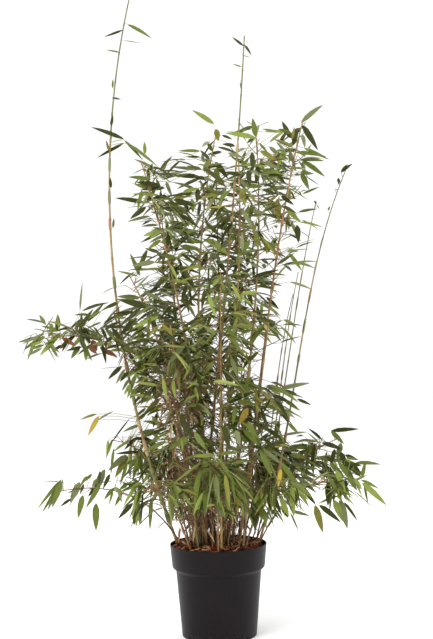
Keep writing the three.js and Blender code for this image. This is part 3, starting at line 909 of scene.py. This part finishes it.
def turnedAt(place):
    # the tint of the turned leaf that belongs here, which is then dealt out
    for name, places in turnedLeaves.items():
        for x, z in places:
            away = math.hypot(place[0] - x, place[2] - z)
            if away < turnedLook["near"] and place[1] < turnedLook["back"]:
                places.remove((x, z))
                return tintNames.index(name)


def growSpray(leafHeap, twigHeap, spray, tier, box, draw):
    look = sprayLook
    stalk = spray["size"] * draw.uniform(*look["stalk"])
    lift = look["dipKept"] * spray["dip"] + draw.uniform(*look["lift"]) * degree
    along = heading(spray["azimuth"], lift)
    end = spray["root"] + along * stalk
    tint = draw.choices(range(len(tintNames)), tier["tints"])[0]
    if tintNames[tint] in turnedLeaves:
        single, tint = tint, tintNames.index(mid)
    else:
        single = turnedAt(end)
    grown = 0
    for k in range(draw.choice(tier["blades"])):
        turn = sideOf(k) * draw.uniform(*look["fan"]) + draw.uniform(-look["stray"], look["stray"])
        azimuth = spray["azimuth"] + turn * degree
        dip = tier["level"] * spray["dip"] + draw.uniform(-tier["stir"], tier["stir"]) * degree
        dip = max(dip, look["steepest"] * degree)
        length = min(draw.uniform(*tier["blade"]), spray["size"] - look["overlap"] * stalk)
        root = spray["root"] + along * stalk * (1 - look["step"] * k)
        droop = draw.uniform(*look["droop"])
        tip = root + heading(azimuth, dip) * length - [0, 0, droop * length]
        middle = (root + tip) / 2
        if (tip < box[0]).any() or (tip > box[1]).any() or thinnedAt(middle, draw) or hidesCulm(middle):
            continue
        width = length * draw.uniform(*tier["slender"])
        roll = spray["roll"] + draw.uniform(-look["roll"], look["roll"])
        points = bladePoints(leafUnit, root, azimuth, dip, length, width, droop, roll,
                             draw.uniform(*look["fold"]))
        hue = single if single is not None and grown == 0 else tint
        lay(leafHeap, leafUnit, points, 2 * hue, 2 * hue + 1)
        grown += 1
    if grown:
        lay(twigHeap, twigUnit, straightTo(twigUnit, spray["root"], end, look["stalkRadii"]), 1)
    return grown


def finerTwigs(cane, tier, draw):
    # twigs between the solids' own, shorter and more at random, so within the same reach
    look = finerLook
    twigs = []
    for i in range(cane["twigs"] * tier["more"]):
        share = draw.uniform(*look["starts"])
        rise = draw.uniform(*tier["climb"]) * degree
        size = draw.uniform(*look["lengths"])
        azimuth = draw.uniform(0, 2 * math.pi)
        if draw.random() < tier["inward"]:
            x, y, z = pointAt(cane["line"], cane["leafy"] + (1 - cane["leafy"]) * share)
            azimuth = math.atan2(-y, -x) + draw.uniform(-look["turn"], look["turn"]) * degree
        twig = twigFrom(cane, share, azimuth, rise, size)
        way = twig["end"] - twig["root"]
        for k in range(draw.randint(*look["sprays"])):
            turn = sideOf(k) * look["spread"] + draw.uniform(-look["stray"], look["stray"])
            twig["sprays"].append({
                "root": twig["root"] + way * (1 - look["step"] * k),
                "azimuth": azimuth + turn * degree,
                "dip": -(tier["hang"] + draw.uniform(-1, 1) * tier["sway"]) * degree,
                "size": tier["leafLength"] * draw.uniform(*look["size"]),
                "roll": draw.uniform(-look["roll"], look["roll"]),
            })
        twigs.append(twig)
    return twigs


leafHeaps = {"Whips": newHeap(), "Upper": newHeap(), "Middle": newHeap(), "Low": newHeap()}
heapOfTier = {"whip": "Whips", "shoot": "Whips", "upper": "Upper", "middle": "Middle", "arch": "Middle",
              "lower": "Low"}
heapNodes = {name: [] for name in leafHeaps}
twigHeap = newHeap()
sprayDraw = random.Random(sprayLook["seed"])
leafCount = 0
firstSeed = 11  # the solids' rule has a seed for each mass, in this order
for seed, name in enumerate([name for name in canes if canes[name]["tier"] != "shoot"], firstSeed):
    cane = canes[name]
    heapName = heapOfTier[cane["tier"]]
    heapNodes[heapName].append(f"leaves_{name}")
    if cane["tier"] == "whip":
        continue  # all of its leaves stand out singly
    tier = {**tiers[cane["tier"]], **cane}
    low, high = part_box(f"leaves_{name}")
    margin = sprayLook["beyondSolids"]
    box = (np.array(low) / mm - margin, np.array(high) / mm + margin)
    ruled = twigsOf(cane, seed)
    if "crowded" in tier:
        # the last ones would stand out as a star
        start = tier["crowded"]["from"] * len(ruled)
        ruled = [twig for k, twig in enumerate(ruled)
                 if k < start or sprayDraw.random() < tier["crowded"]["kept"]]
    for twig in ruled + finerTwigs(cane, tier, sprayDraw):
        grown = sum(growSpray(leafHeaps[heapName], twigHeap, spray, tier, box, sprayDraw)
                    for spray in twig["sprays"])
        leafCount += grown
        if grown:
            ends = twig["root"], twig["end"]
            lay(twigHeap, twigUnit, straightTo(twigUnit, *ends, sprayLook["twigRadii"], sprayLook["sag"]))

# Leaves that stand out singly in the photo, by the cane that bears them: the pixels of each root and
# tip, its width in pixels as it is seen, and its tint where that is plain
singleLeaves = {
    "tall_left": [
        (123, 30, 104, 37, 2, deep), (127.5, 24.5, 152, 39, 3.5, mid), (123, 40.5, 141, 43.3, 1.3),
        (120, 52.5, 106, 50, 1.3), (112.5, 88, 113, 79, 2), (112, 98, 121, 99.5, 2),
        (124, 139, 91, 127, 4), (124, 143, 97, 158, 3), (124, 140, 143, 161, 3),
        (127, 143, 158, 167, 3.5), (111, 126, 113, 115, 3), (109, 151, 106, 140, 2.5),
        (111, 188, 110, 177, 3), (113, 228, 114, 218, 2.5), (99, 416, 88, 436, 5, yellow),
        (97, 414, 80, 420, 2.5, olive), (98, 420, 114, 411, 2), (130, 418, 107, 450, 1.5)],
    "tall_middle": [
        (243.5, 46, 232, 37, 2.5, deep), (244.5, 45, 251.5, 55.5, 2.5, deep),
        (242.5, 55.5, 250.5, 57.5, 1), (241.5, 67, 232.5, 64, 1.3), (240.2, 82.5, 242, 92.5, 1.8),
        (238, 121, 245.5, 131.5, 1)],
    "tall_right": [
        (341, 172, 347.5, 164, 2.5, deep), (341, 172.5, 352.5, 163.5, 3, deep),
        (338.3, 178, 339, 185, 3, deep), (335, 189.5, 338.5, 190, 1), (328, 210.5, 330, 206, 1.8)],
    "shoot_outer": [
        (316.5, 204, 313.8, 200.5, 1.8, deep), (317, 205, 319.5, 209, 1)],
    "upper_left": [
        (140, 276, 130, 253, 4.5), (138, 276, 117, 271, 2.5), (140, 298, 117, 296.5, 5),
        (150, 306, 115, 299, 5), (172, 284, 158, 296, 5), (165, 288, 182, 292, 5),
        (185, 282, 170, 290, 5), (180, 300, 196, 306, 5), (166, 372, 180, 371, 3, grey),
        (205, 371, 182, 394, 4), (150, 372, 136, 384, 4), (148, 380, 136, 392, 4),
        (152, 392, 142, 402, 4, deep), (155, 430, 142, 438, 4), (160, 436, 148, 446, 4)],
    "upper_front_left": [
        (145, 154, 144.5, 141.5, 3.5), (162, 171, 167, 160, 4.5, grey), (151, 180, 128, 177, 4),
        (155, 169, 134, 159, 3), (152, 189, 134, 184, 4.5), (200, 151, 178, 151, 3),
        (197, 170, 170, 167, 3), (174, 200, 195, 206, 5), (198, 188, 197, 203, 5, deep),
        (192, 199, 193, 213, 5), (183, 192, 200, 188, 4), (186, 240, 204, 243, 5),
        (145, 203, 115, 198, 4.5), (146, 207, 130, 219, 5), (150, 216, 127, 222, 3),
        (163, 231, 143, 236, 5), (161, 240, 147, 250, 4), (155, 262, 132, 266, 5),
        (160, 186, 136, 182, 5), (165, 188, 140, 190, 4.5, deep), (158, 195, 132, 194, 3),
        (162, 208, 187, 212, 4.5, deep), (172, 215, 150, 212, 4), (175, 236, 160, 243, 4.5),
        (180, 246, 198, 250, 4.5), (170, 222, 190, 226, 4), (176, 258, 160, 255, 4.5)],
    "upper_middle": [
        (214, 124, 192, 110, 5), (216, 129, 218.5, 141, 6, olive), (200, 177, 172, 176, 5),
        (215, 162, 228, 179, 6, deep), (238, 196, 220, 194, 4), (222, 152, 207, 155, 3.5),
        (210, 160, 200, 150, 3.5), (204, 172, 210, 158, 5), (217, 168, 216, 180, 6),
        (212, 151, 207, 142, 4), (200, 157, 186, 157, 2.5), (206, 205, 222, 209, 5),
        (215, 225, 232, 232, 5), (232, 212, 246, 222, 5), (205, 228, 196, 240, 4),
        (188, 232, 202, 236, 4), (216, 244, 228, 252, 5)],
    "upper_front": [
        (256, 138, 225, 133, 5), (256, 137, 252.5, 118, 5.5), (260, 151, 277, 161, 5, olive),
        (277, 132, 262, 129, 2.5), (262, 162, 281, 170, 4), (241, 175, 224, 172, 4),
        (235, 146, 222, 144, 3.5), (228, 153, 244, 158, 3.5), (252, 152, 253, 172, 5, deep),
        (258, 165, 256, 185, 5, deep), (248, 170, 250, 188, 5, deep), (262, 171, 281, 172, 5),
        (245, 186, 263, 187, 4.5), (240, 178, 246, 192, 4), (250, 240, 240, 256, 5),
        (262, 250, 280, 243, 5), (276, 182, 263, 187, 2.5, deep), (264, 190, 278, 195, 3, deep),
        (268, 175, 285, 176, 2.5, deep), (270, 161.5, 287, 159, 1.5, deep), (259, 143, 268, 153, 2.5),
        (248, 210, 272, 217, 4.5, grey), (236, 181, 245, 189, 2.5, deep)],
    "upper_right": [
        (301, 123, 323, 104.5, 5, grey), (302, 125, 318, 151, 6), (304, 148, 329, 159.5, 3.5),
        (303, 161, 325, 177, 5), (301, 173, 309, 190, 5.5), (290, 138, 282, 121, 5),
        (298, 150, 277, 151, 4), (286, 208, 301, 223, 5), (297, 225, 298.5, 243, 6),
        (300, 222, 323, 227.5, 2.5), (277, 199, 279, 224, 6.5, olive), (289, 253, 302, 271, 4),
        (300, 263, 282, 265, 3), (300, 172, 314, 174, 3), (288, 423, 299, 434, 3.5),
        (300, 128, 290, 138, 5), (292, 134, 278, 129, 4), (296, 130, 293, 146, 6),
        (288, 147, 299, 139, 4), (281, 196, 294, 205, 4), (278, 175, 286, 185, 3, deep),
        (291, 191, 295, 200, 2, deep), (300, 231, 311, 239, 1), (296, 248, 314, 241.5, 1.5),
        (305, 176, 320, 186, 1.3)],
    "arch_left": [
        (80, 311, 82.5, 282, 2.5), (82, 311, 109, 302.5, 3), (90, 315, 74, 315, 2.5),
        (80, 323, 101, 311, 3), (57, 331, 57.5, 315, 4), (40, 337, 18, 342.5, 3.5),
        (60, 331, 41, 326, 3), (42, 348, 27, 356, 3), (80, 346, 71, 359, 5), (86, 348, 86, 361, 4.5),
        (87, 359, 103, 353, 2), (122, 366, 108, 379.5, 4.5), (125, 369, 116, 384, 3.5),
        (129, 379, 122, 391, 3), (146, 308, 119, 300, 6, deep), (137, 318, 120, 336, 6.5, deep),
        (126, 318, 110, 317, 3), (135, 312, 112, 314, 3), (124, 326, 108, 328, 3),
        (142, 320, 138, 342, 5), (150, 318, 158, 330, 5), (118, 303, 104, 309, 3.5),
        (140, 368, 126, 378, 4.5), (143, 385, 133, 396, 5), (36, 341, 24, 350, 3),
        (50, 344, 40, 356, 3.5), (62, 345, 52, 352, 3), (75, 336, 60, 347, 4), (68, 340, 62, 352, 3),
        (45, 336, 32, 345, 3.5), (133, 343, 119, 349, 4, olive), (121, 350, 110, 351, 3),
        (141, 350, 161, 375, 5, grey), (135, 388, 130, 399, 3.5), (141, 395, 134, 404, 3, deep),
        (146, 366, 132, 372, 3.5), (128, 372, 120, 382, 4), (131, 384, 124, 395, 3.5),
        (120, 301, 100, 312, 3), (101, 311, 79, 325, 3, deep), (60, 331, 41, 332, 2),
        (42, 342, 27, 347, 3, fresh), (44, 345, 30, 350, 3, fresh), (56, 337, 45, 352, 5, fresh),
        (60, 333, 50, 346, 5, fresh), (70, 327, 58, 331, 2.5), (82, 347, 66, 351, 3, deep),
        (84, 328, 90, 344, 6), (80, 325, 84, 345, 5, deep), (101, 327, 108, 342, 3.5, deep),
        (108, 330, 116, 342, 5), (112, 328, 124, 345, 5, deep), (101, 322, 86, 329, 2),
        (62, 338, 76, 346, 5, rust), (68, 341, 60, 349, 4, rust), (92, 340, 97, 351, 6, rust),
        (89, 346, 97, 354, 5, rust), (100, 347, 112, 356, 5, rust), (106, 350, 118, 358, 4, rust)],
    "low_left_outer": [
        (62, 479, 37, 510, 3.5), (61, 483, 42, 513, 4), (63, 480, 47, 511, 4), (62, 481, 52, 508, 6),
        (80, 482, 70, 503, 7), (71, 499, 60, 507, 3), (87, 476, 80, 487, 3), (83, 495, 78, 519, 6, mid),
        (105, 469, 92, 498, 7), (101, 483, 86, 508, 5), (100, 471, 99, 485, 3), (96, 479, 92, 488, 3),
        (96, 503, 96, 531, 7, mid), (113, 491, 109, 505, 2.5), (114, 487, 124, 495, 3.5),
        (118, 490, 122, 503, 3), (133, 503, 118, 519, 5), (136, 503, 134, 526, 6),
        (138, 502, 140, 526, 5), (160, 489, 150, 505, 4), (114, 488, 104, 500, 4, mid),
        (122, 493, 115, 506, 4), (96, 486, 88, 497, 3.5), (110, 474, 103, 489, 4, deep),
        (84, 484, 80, 494, 3, deep), (92, 474, 84, 482, 3), (128, 484, 119, 490, 4)],
    "low_left_upper": [
        (130, 440, 113, 452, 3), (140, 425, 123, 432, 3.5), (137, 437, 124, 450, 4),
        (127, 455, 108, 471, 6.5), (128, 456, 115, 478, 7, olive), (140, 452, 115, 454, 3.5),
        (138, 460, 133, 480, 5), (146, 408, 134, 418, 3), (160, 399, 141, 418, 5, olive),
        (164, 404, 147, 416, 5, olive), (166, 425, 142, 421, 4, olive), (158, 412, 153, 428, 4),
        (150, 398, 136, 404, 4), (150, 430, 160, 440, 4), (154, 430, 138, 433, 3.5),
        (146, 413, 137, 421, 4, olive), (160, 425, 145, 421, 3, olive), (150, 439, 133, 439, 4, deep),
        (158, 445, 140, 441, 4), (152, 416, 160, 428, 4, fresh)],
    "low_right_outer": [
        (355, 463, 381, 464.5, 4), (361, 480, 379, 489, 3.5), (362, 483, 387, 506, 6, fresh),
        (364, 484, 368, 505, 2.5), (362, 478, 365.5, 461, 4), (348, 476, 357, 491, 5),
        (315, 505, 323, 533, 7, olive), (319, 505, 341, 523, 5.5), (334, 500, 343, 522, 7),
        (340, 499, 347.5, 529, 7.5), (344, 502, 358, 522, 3), (338, 496, 318, 504, 3),
        (328, 482, 328, 507, 6, deep), (300, 485, 316, 505, 5), (298, 478, 316, 493, 5),
        (291, 478, 297, 508, 8), (291, 511, 310, 516, 3.5), (282, 505, 288, 518, 6),
        (290, 512, 299, 532, 2), (340, 478, 347, 496, 6), (338, 462, 352, 482, 5),
        (346, 458, 359, 460, 3), (350, 464, 362, 466, 3.5), (354, 478, 362, 490, 4),
        (346, 480, 345, 497, 4, deep), (352, 468, 364, 476, 4), (342, 460, 362, 478, 5),
        (350, 462, 361, 473, 4), (330, 463, 345, 479, 5.5), (336, 470, 345, 490, 6),
        (325, 465, 338, 483, 6), (345, 466, 356, 486, 5)],
    "low_right_upper": [
        (331, 431, 359, 429, 4.5), (331, 431, 344, 444, 5), (322, 440, 308, 428, 3),
        (322, 443, 343, 450, 5), (341, 443, 337, 460, 6), (316, 457, 345, 462, 5),
        (285, 438, 273, 450, 7, olive), (300, 440, 320, 442, 3), (290, 455, 308, 458, 5),
        (341, 452, 346, 469, 6), (335, 449, 331, 464, 5), (345, 455, 358, 460, 4),
        (290, 462, 312, 470, 4), (296, 468, 318, 478, 5), (300, 474, 320, 486, 5),
        (305, 460, 325, 468, 4.5), (318, 470, 335, 480, 5), (285, 468, 305, 482, 5)],
    "middle_2": [
        (248, 408, 239, 425, 6, yellow)],
    "middle_3": [
        (280, 389, 310, 383, 4.5), (266, 386, 281, 390, 4), (281, 391, 297, 394, 4),
        (297, 399, 311, 405, 3, deep), (264, 405, 285, 412, 4.5), (276, 412, 290, 415, 3.5),
        (272, 395, 290, 402, 4.5, deep), (284, 400, 300, 411, 4)],
    "low_1": [
        (196, 478, 181, 489, 4, fresh), (180, 419, 192, 440, 5, deep), (190, 437, 168, 450, 6, mid),
        (178, 411, 191, 434, 4, deep)],
    "low_2": [
        (194, 432, 206, 450, 5, mid), (215, 455, 193, 457, 4, fresh), (207, 456, 202, 483, 6, mid),
        (214, 458, 217, 495, 5, mid), (218, 458, 236, 486, 3.5, fresh), (217, 454, 241, 452, 3.5, mid),
        (209, 468, 212, 497, 4, mid), (224, 424, 230, 452, 5, deep), (241, 490, 237, 516, 4, yellow),
        (246, 500, 245, 520, 3), (228, 490, 229, 508, 4), (226, 510, 213, 520, 4),
        (236, 430, 240, 446, 5)],
    "low_3": [
        (248, 421, 257, 441, 5), (260, 450, 272, 478, 5.5), (263, 449, 283, 466, 4, grey),
        (281, 462, 299, 488, 5), (281, 469, 278, 488, 4, yellow), (258, 505, 271, 521, 4),
        (272, 493, 280, 509, 4, deep), (270, 508, 279, 519, 3), (281, 498, 289, 517, 5),
        (253, 488, 259, 510, 6), (260, 440, 270, 432, 2.5, deep)],
}


def shownAt(u, v, depth):
    # the place at a depth behind the pot's axis that the photo shows at a pixel
    right, down = u - photoView["frame"][0] / 2, v - photoView["frame"][1] / 2
    roll = photoView["roll"] * degree
    size = photoView["mmPerPixel"] * (1 + depth / photoView["distance"])
    return np.array([photoView["side"] + size * (right * math.cos(roll) - down * math.sin(roll)), depth,
                     photoView["height"] - size * (right * math.sin(roll) + down * math.cos(roll))])


# each grows from its cane a little below itself; one with no tint of its own is dealt one of these
singleLook = {"from": 0.1, "steps": 181, "below": 0.35, "rootDepth": (-18, 12), "tipDepth": (-22, 12),
              "slenderest": 0.13, "fold": 0.12, "sag": -0.04,
              "tints": (deep, deep, mid, mid, fresh, grey), "seed": 71}
singleDraw = random.Random(singleLook["seed"])
for name, leaves in singleLeaves.items():
    heap = leafHeaps[heapOfTier[canes[name]["tier"]]]
    along = pointAt(canes[name]["line"], np.linspace(singleLook["from"], 1, singleLook["steps"]))
    for u0, v0, u1, v1, width, *tints in leaves:
        flat = shownAt(u0, v0, 0)
        reach = np.abs(along[:, 0] - flat[0])
        joint = along[np.hypot(reach, along[:, 2] + singleLook["below"] * reach - flat[2]).argmin()]
        depth = joint[1] + singleDraw.uniform(*singleLook["rootDepth"])
        root = shownAt(u0, v0, depth)
        tip = shownAt(u1, v1, depth + singleDraw.uniform(*singleLook["tipDepth"]))
        droop = singleDraw.uniform(*sprayLook["droop"])
        way = tip - root
        way[2] += droop * np.linalg.norm(way)
        length = np.linalg.norm(way)
        seen = width * photoView["mmPerPixel"]
        wide = max(seen, singleLook["slenderest"] * length)
        azimuth, dip = math.atan2(way[1], way[0]), math.asin(way[2] / length)
        # rolled so that its upper side shows as wide as it does there
        edgeOn = math.atan2(-math.sin(dip) * math.sin(azimuth), math.cos(azimuth))
        roll = edgeOn + math.asin(seen / wide)
        tint = tintNames.index(tints[0] if tints else singleDraw.choice(singleLook["tints"]))
        points = bladePoints(leafUnit, root, azimuth, dip, length, wide, droop, roll, singleLook["fold"])
        lay(heap, leafUnit, points, 2 * tint, 2 * tint + 1)
        stalk = straightTo(twigUnit, joint, root, sprayLook["stalkRadii"], singleLook["sag"])
        lay(twigHeap, twigUnit, stalk, 1)
        leafCount += 1
print("leaves:", leafCount)

leafMaterials = []
for name, (above, below) in leafTints.items():
    leafMaterials.append(leafSkin(f"{name} leaf", above, 0.42))
    leafMaterials.append(leafSkin(f"{name} leaf underside", below, 0.55))
for name, heap in leafHeaps.items():
    joinHeap(heap, f"leaves{name}", leafMaterials, heapNodes[name], 25)
joinHeap(twigHeap, "twigs", [
    growingSkin("bamboo side branch", "#5d4630", "#8f7247", 2, 0.45, 0.1),
    growingSkin("leaf stalk", "#69703a", "#8f9152", 2, 0.45, 0.1),
], [])


# Dead growth: bare red-brown twigs and curled leaves that stay caught among the canes

deadLook = {
    # the heights between which each cane bears dead twigs, and how many
    "canes": {"upper_left": (50, 240, 640), "upper_front_left": (80, 230, 660),
              "arch_left": (64, 240, 720), "middle_1": (90, 230, 600), "low_left_upper": (24, 240, 400),
              "low_1": (40, 230, 380), "upper_middle": (30, 230, 560), "upper_front": (18, 230, 420),
              "middle_2": (14, 230, 420), "upper_right": (16, 225, 400), "low_3": (8, 230, 360),
              "upper_back_right": (28, 222, 330), "upper_back": (22, 222, 330),
              "upper_back_left": (16, 222, 330)},
    "twig": {"length": (30, 85), "rise": (-10, 60), "radii": (0.75, 0.5), "sag": 0.06,
             "skins": (0, 0, 1)},
    "fork": {"count": (3, 5), "start": (0.3, 1), "length": (12, 34), "turn": 75, "rise": (-40, 30),
             "radii": (0.5, 0.4), "sag": 0.05},
    "leaf": {"share": 0.28, "length": (14, 34), "dip": (-70, 0), "slender": (0.14, 0.22),
             "droop": (0.1, 0.35), "roll": (-1.4, 1.4), "fold": (0.4, 0.9), "skins": (2, 2, 3)},
    "rimRadius": 70, "rimHeight": 225, "twigRoom": 40,  # none lies across the pot's rim
    "lastHeight": 80, "steps": 101, "seed": 47,
}


def overRim(place, room):
    # near the pot's rim or beyond it, and too low to hang free of it
    x, y, z = place
    return math.hypot(x, y) > deadLook["rimRadius"] and z < deadLook["rimHeight"] + room


deadHeap = newHeap()
deadDraw = random.Random(deadLook["seed"])
deadTwig, deadFork, deadLeaf = deadLook["twig"], deadLook["fork"], deadLook["leaf"]
shares = np.linspace(0, 1, deadLook["steps"])
for name, (count, low, high) in deadLook["canes"].items():
    line = canes[name]["line"]
    heights = pointAt(line, shares)[:, 2]
    for i in range(count):
        # by the part of the cane below its tip, which may hang
        lower = slice(deadLook["lastHeight"])
        share = np.interp(deadDraw.uniform(low, high), heights[lower], shares[lower])
        root = pointAt(line, share)
        azimuth = deadDraw.uniform(0, 2 * math.pi)
        rise = deadDraw.uniform(*deadTwig["rise"]) * degree
        end = root + heading(azimuth, rise) * deadDraw.uniform(*deadTwig["length"])
        if overRim(end, deadLook["twigRoom"]) or hidesCulm(end):
            continue
        way = straightTo(twigUnit, root, end, deadTwig["radii"], deadTwig["sag"])
        lay(deadHeap, twigUnit, way, deadDraw.choice(deadTwig["skins"]))
        for k in range(deadDraw.randint(*deadFork["count"])):
            start = root + (end - root) * deadDraw.uniform(*deadFork["start"])
            turn = azimuth + deadDraw.uniform(-deadFork["turn"], deadFork["turn"]) * degree
            along = heading(turn, rise + deadDraw.uniform(*deadFork["rise"]) * degree)
            tip = start + along * deadDraw.uniform(*deadFork["length"])
            way = straightTo(twigUnit, start, tip, deadFork["radii"], deadFork["sag"])
            lay(deadHeap, twigUnit, way, deadDraw.choice(deadTwig["skins"]))
            if deadDraw.random() >= deadLeaf["share"]:
                continue
            length = deadDraw.uniform(*deadLeaf["length"])
            if overRim(tip, length):
                continue
            dip = deadDraw.uniform(*deadLeaf["dip"]) * degree
            width = length * deadDraw.uniform(*deadLeaf["slender"])
            bends = [deadDraw.uniform(*deadLeaf[bend]) for bend in ("droop", "roll", "fold")]
            points = bladePoints(leafUnit, tip, turn, dip, length, width, *bends)
            lay(deadHeap, leafUnit, points, deadDraw.choice(deadLeaf["skins"]))
joinHeap(deadHeap, "deadGrowth", [
    roughStuff("dead red-brown twig", "#523323", "#946a50", 3, 0.1, 0.8),
    roughStuff("dead grey-brown twig", "#53422e", "#8a7255", 3, 0.1, 0.8),
    roughStuff("dead brown leaf", "#62452f", "#987556", 5, 0.1, 0.75),
    roughStuff("dead straw leaf", "#8d774d", "#b8a173", 5, 0.1, 0.75),
], [])


# The photo's camera, soft studio light and a pale floor

bpy.ops.object.camera_add(
    location=(photoView["side"] * mm, -photoView["distance"] * mm, photoView["height"] * mm),
    rotation=(math.pi / 2, photoView["roll"] * degree, 0))
camera = bpy.context.object
camera.data.sensor_width = 36
pixelsAway = photoView["distance"] / photoView["mmPerPixel"]
camera.data.lens = camera.data.sensor_width * pixelsAway / photoView["frame"][1]
bpy.context.scene.camera = camera

studio = {"aimHeight": 0.7, "world": 1.06, "floor": 0.95, "floorSize": 40}  # metres
lamps = {
    "key": {"place": (-1.7, -2.4, 3.0), "size": 1.8, "power": 95},
    "fill": {"place": (2.6, -2.2, 1.5), "size": 2.4, "power": 18},
    "back": {"place": (0.6, 2.4, 3.0), "size": 2.4, "power": 45},
}
for name, lamp in lamps.items():
    bpy.ops.object.light_add(type="AREA", location=lamp["place"])
    light = bpy.context.object
    light.name = name
    light.data.size = lamp["size"]
    light.data.energy = lamp["power"]
    x, y, z = lamp["place"]
    light.rotation_euler = (math.atan2(math.hypot(x, y), z - studio["aimHeight"]), 0, math.atan2(x, -y))

world = bpy.data.worlds.new("studio")
world.use_nodes = True
world.node_tree.nodes["Background"].inputs["Color"].default_value = (1, 1, 1, 1)
world.node_tree.nodes["Background"].inputs["Strength"].default_value = studio["world"]
bpy.context.scene.world = world
bpy.context.scene.view_settings.view_transform = "Standard"

deselectAll()
bpy.ops.mesh.primitive_plane_add(size=studio["floorSize"])
floor = bpy.context.object
floor.name = "floor"
floorMaterial, _, floorShader, _ = startMaterial("matt white paper sweep")
floorShader.inputs["Base Color"].default_value = (*[studio["floor"]] * 3, 1)
floorShader.inputs["Roughness"].default_value = 0.9
floor.data.materials.append(floorMaterial)
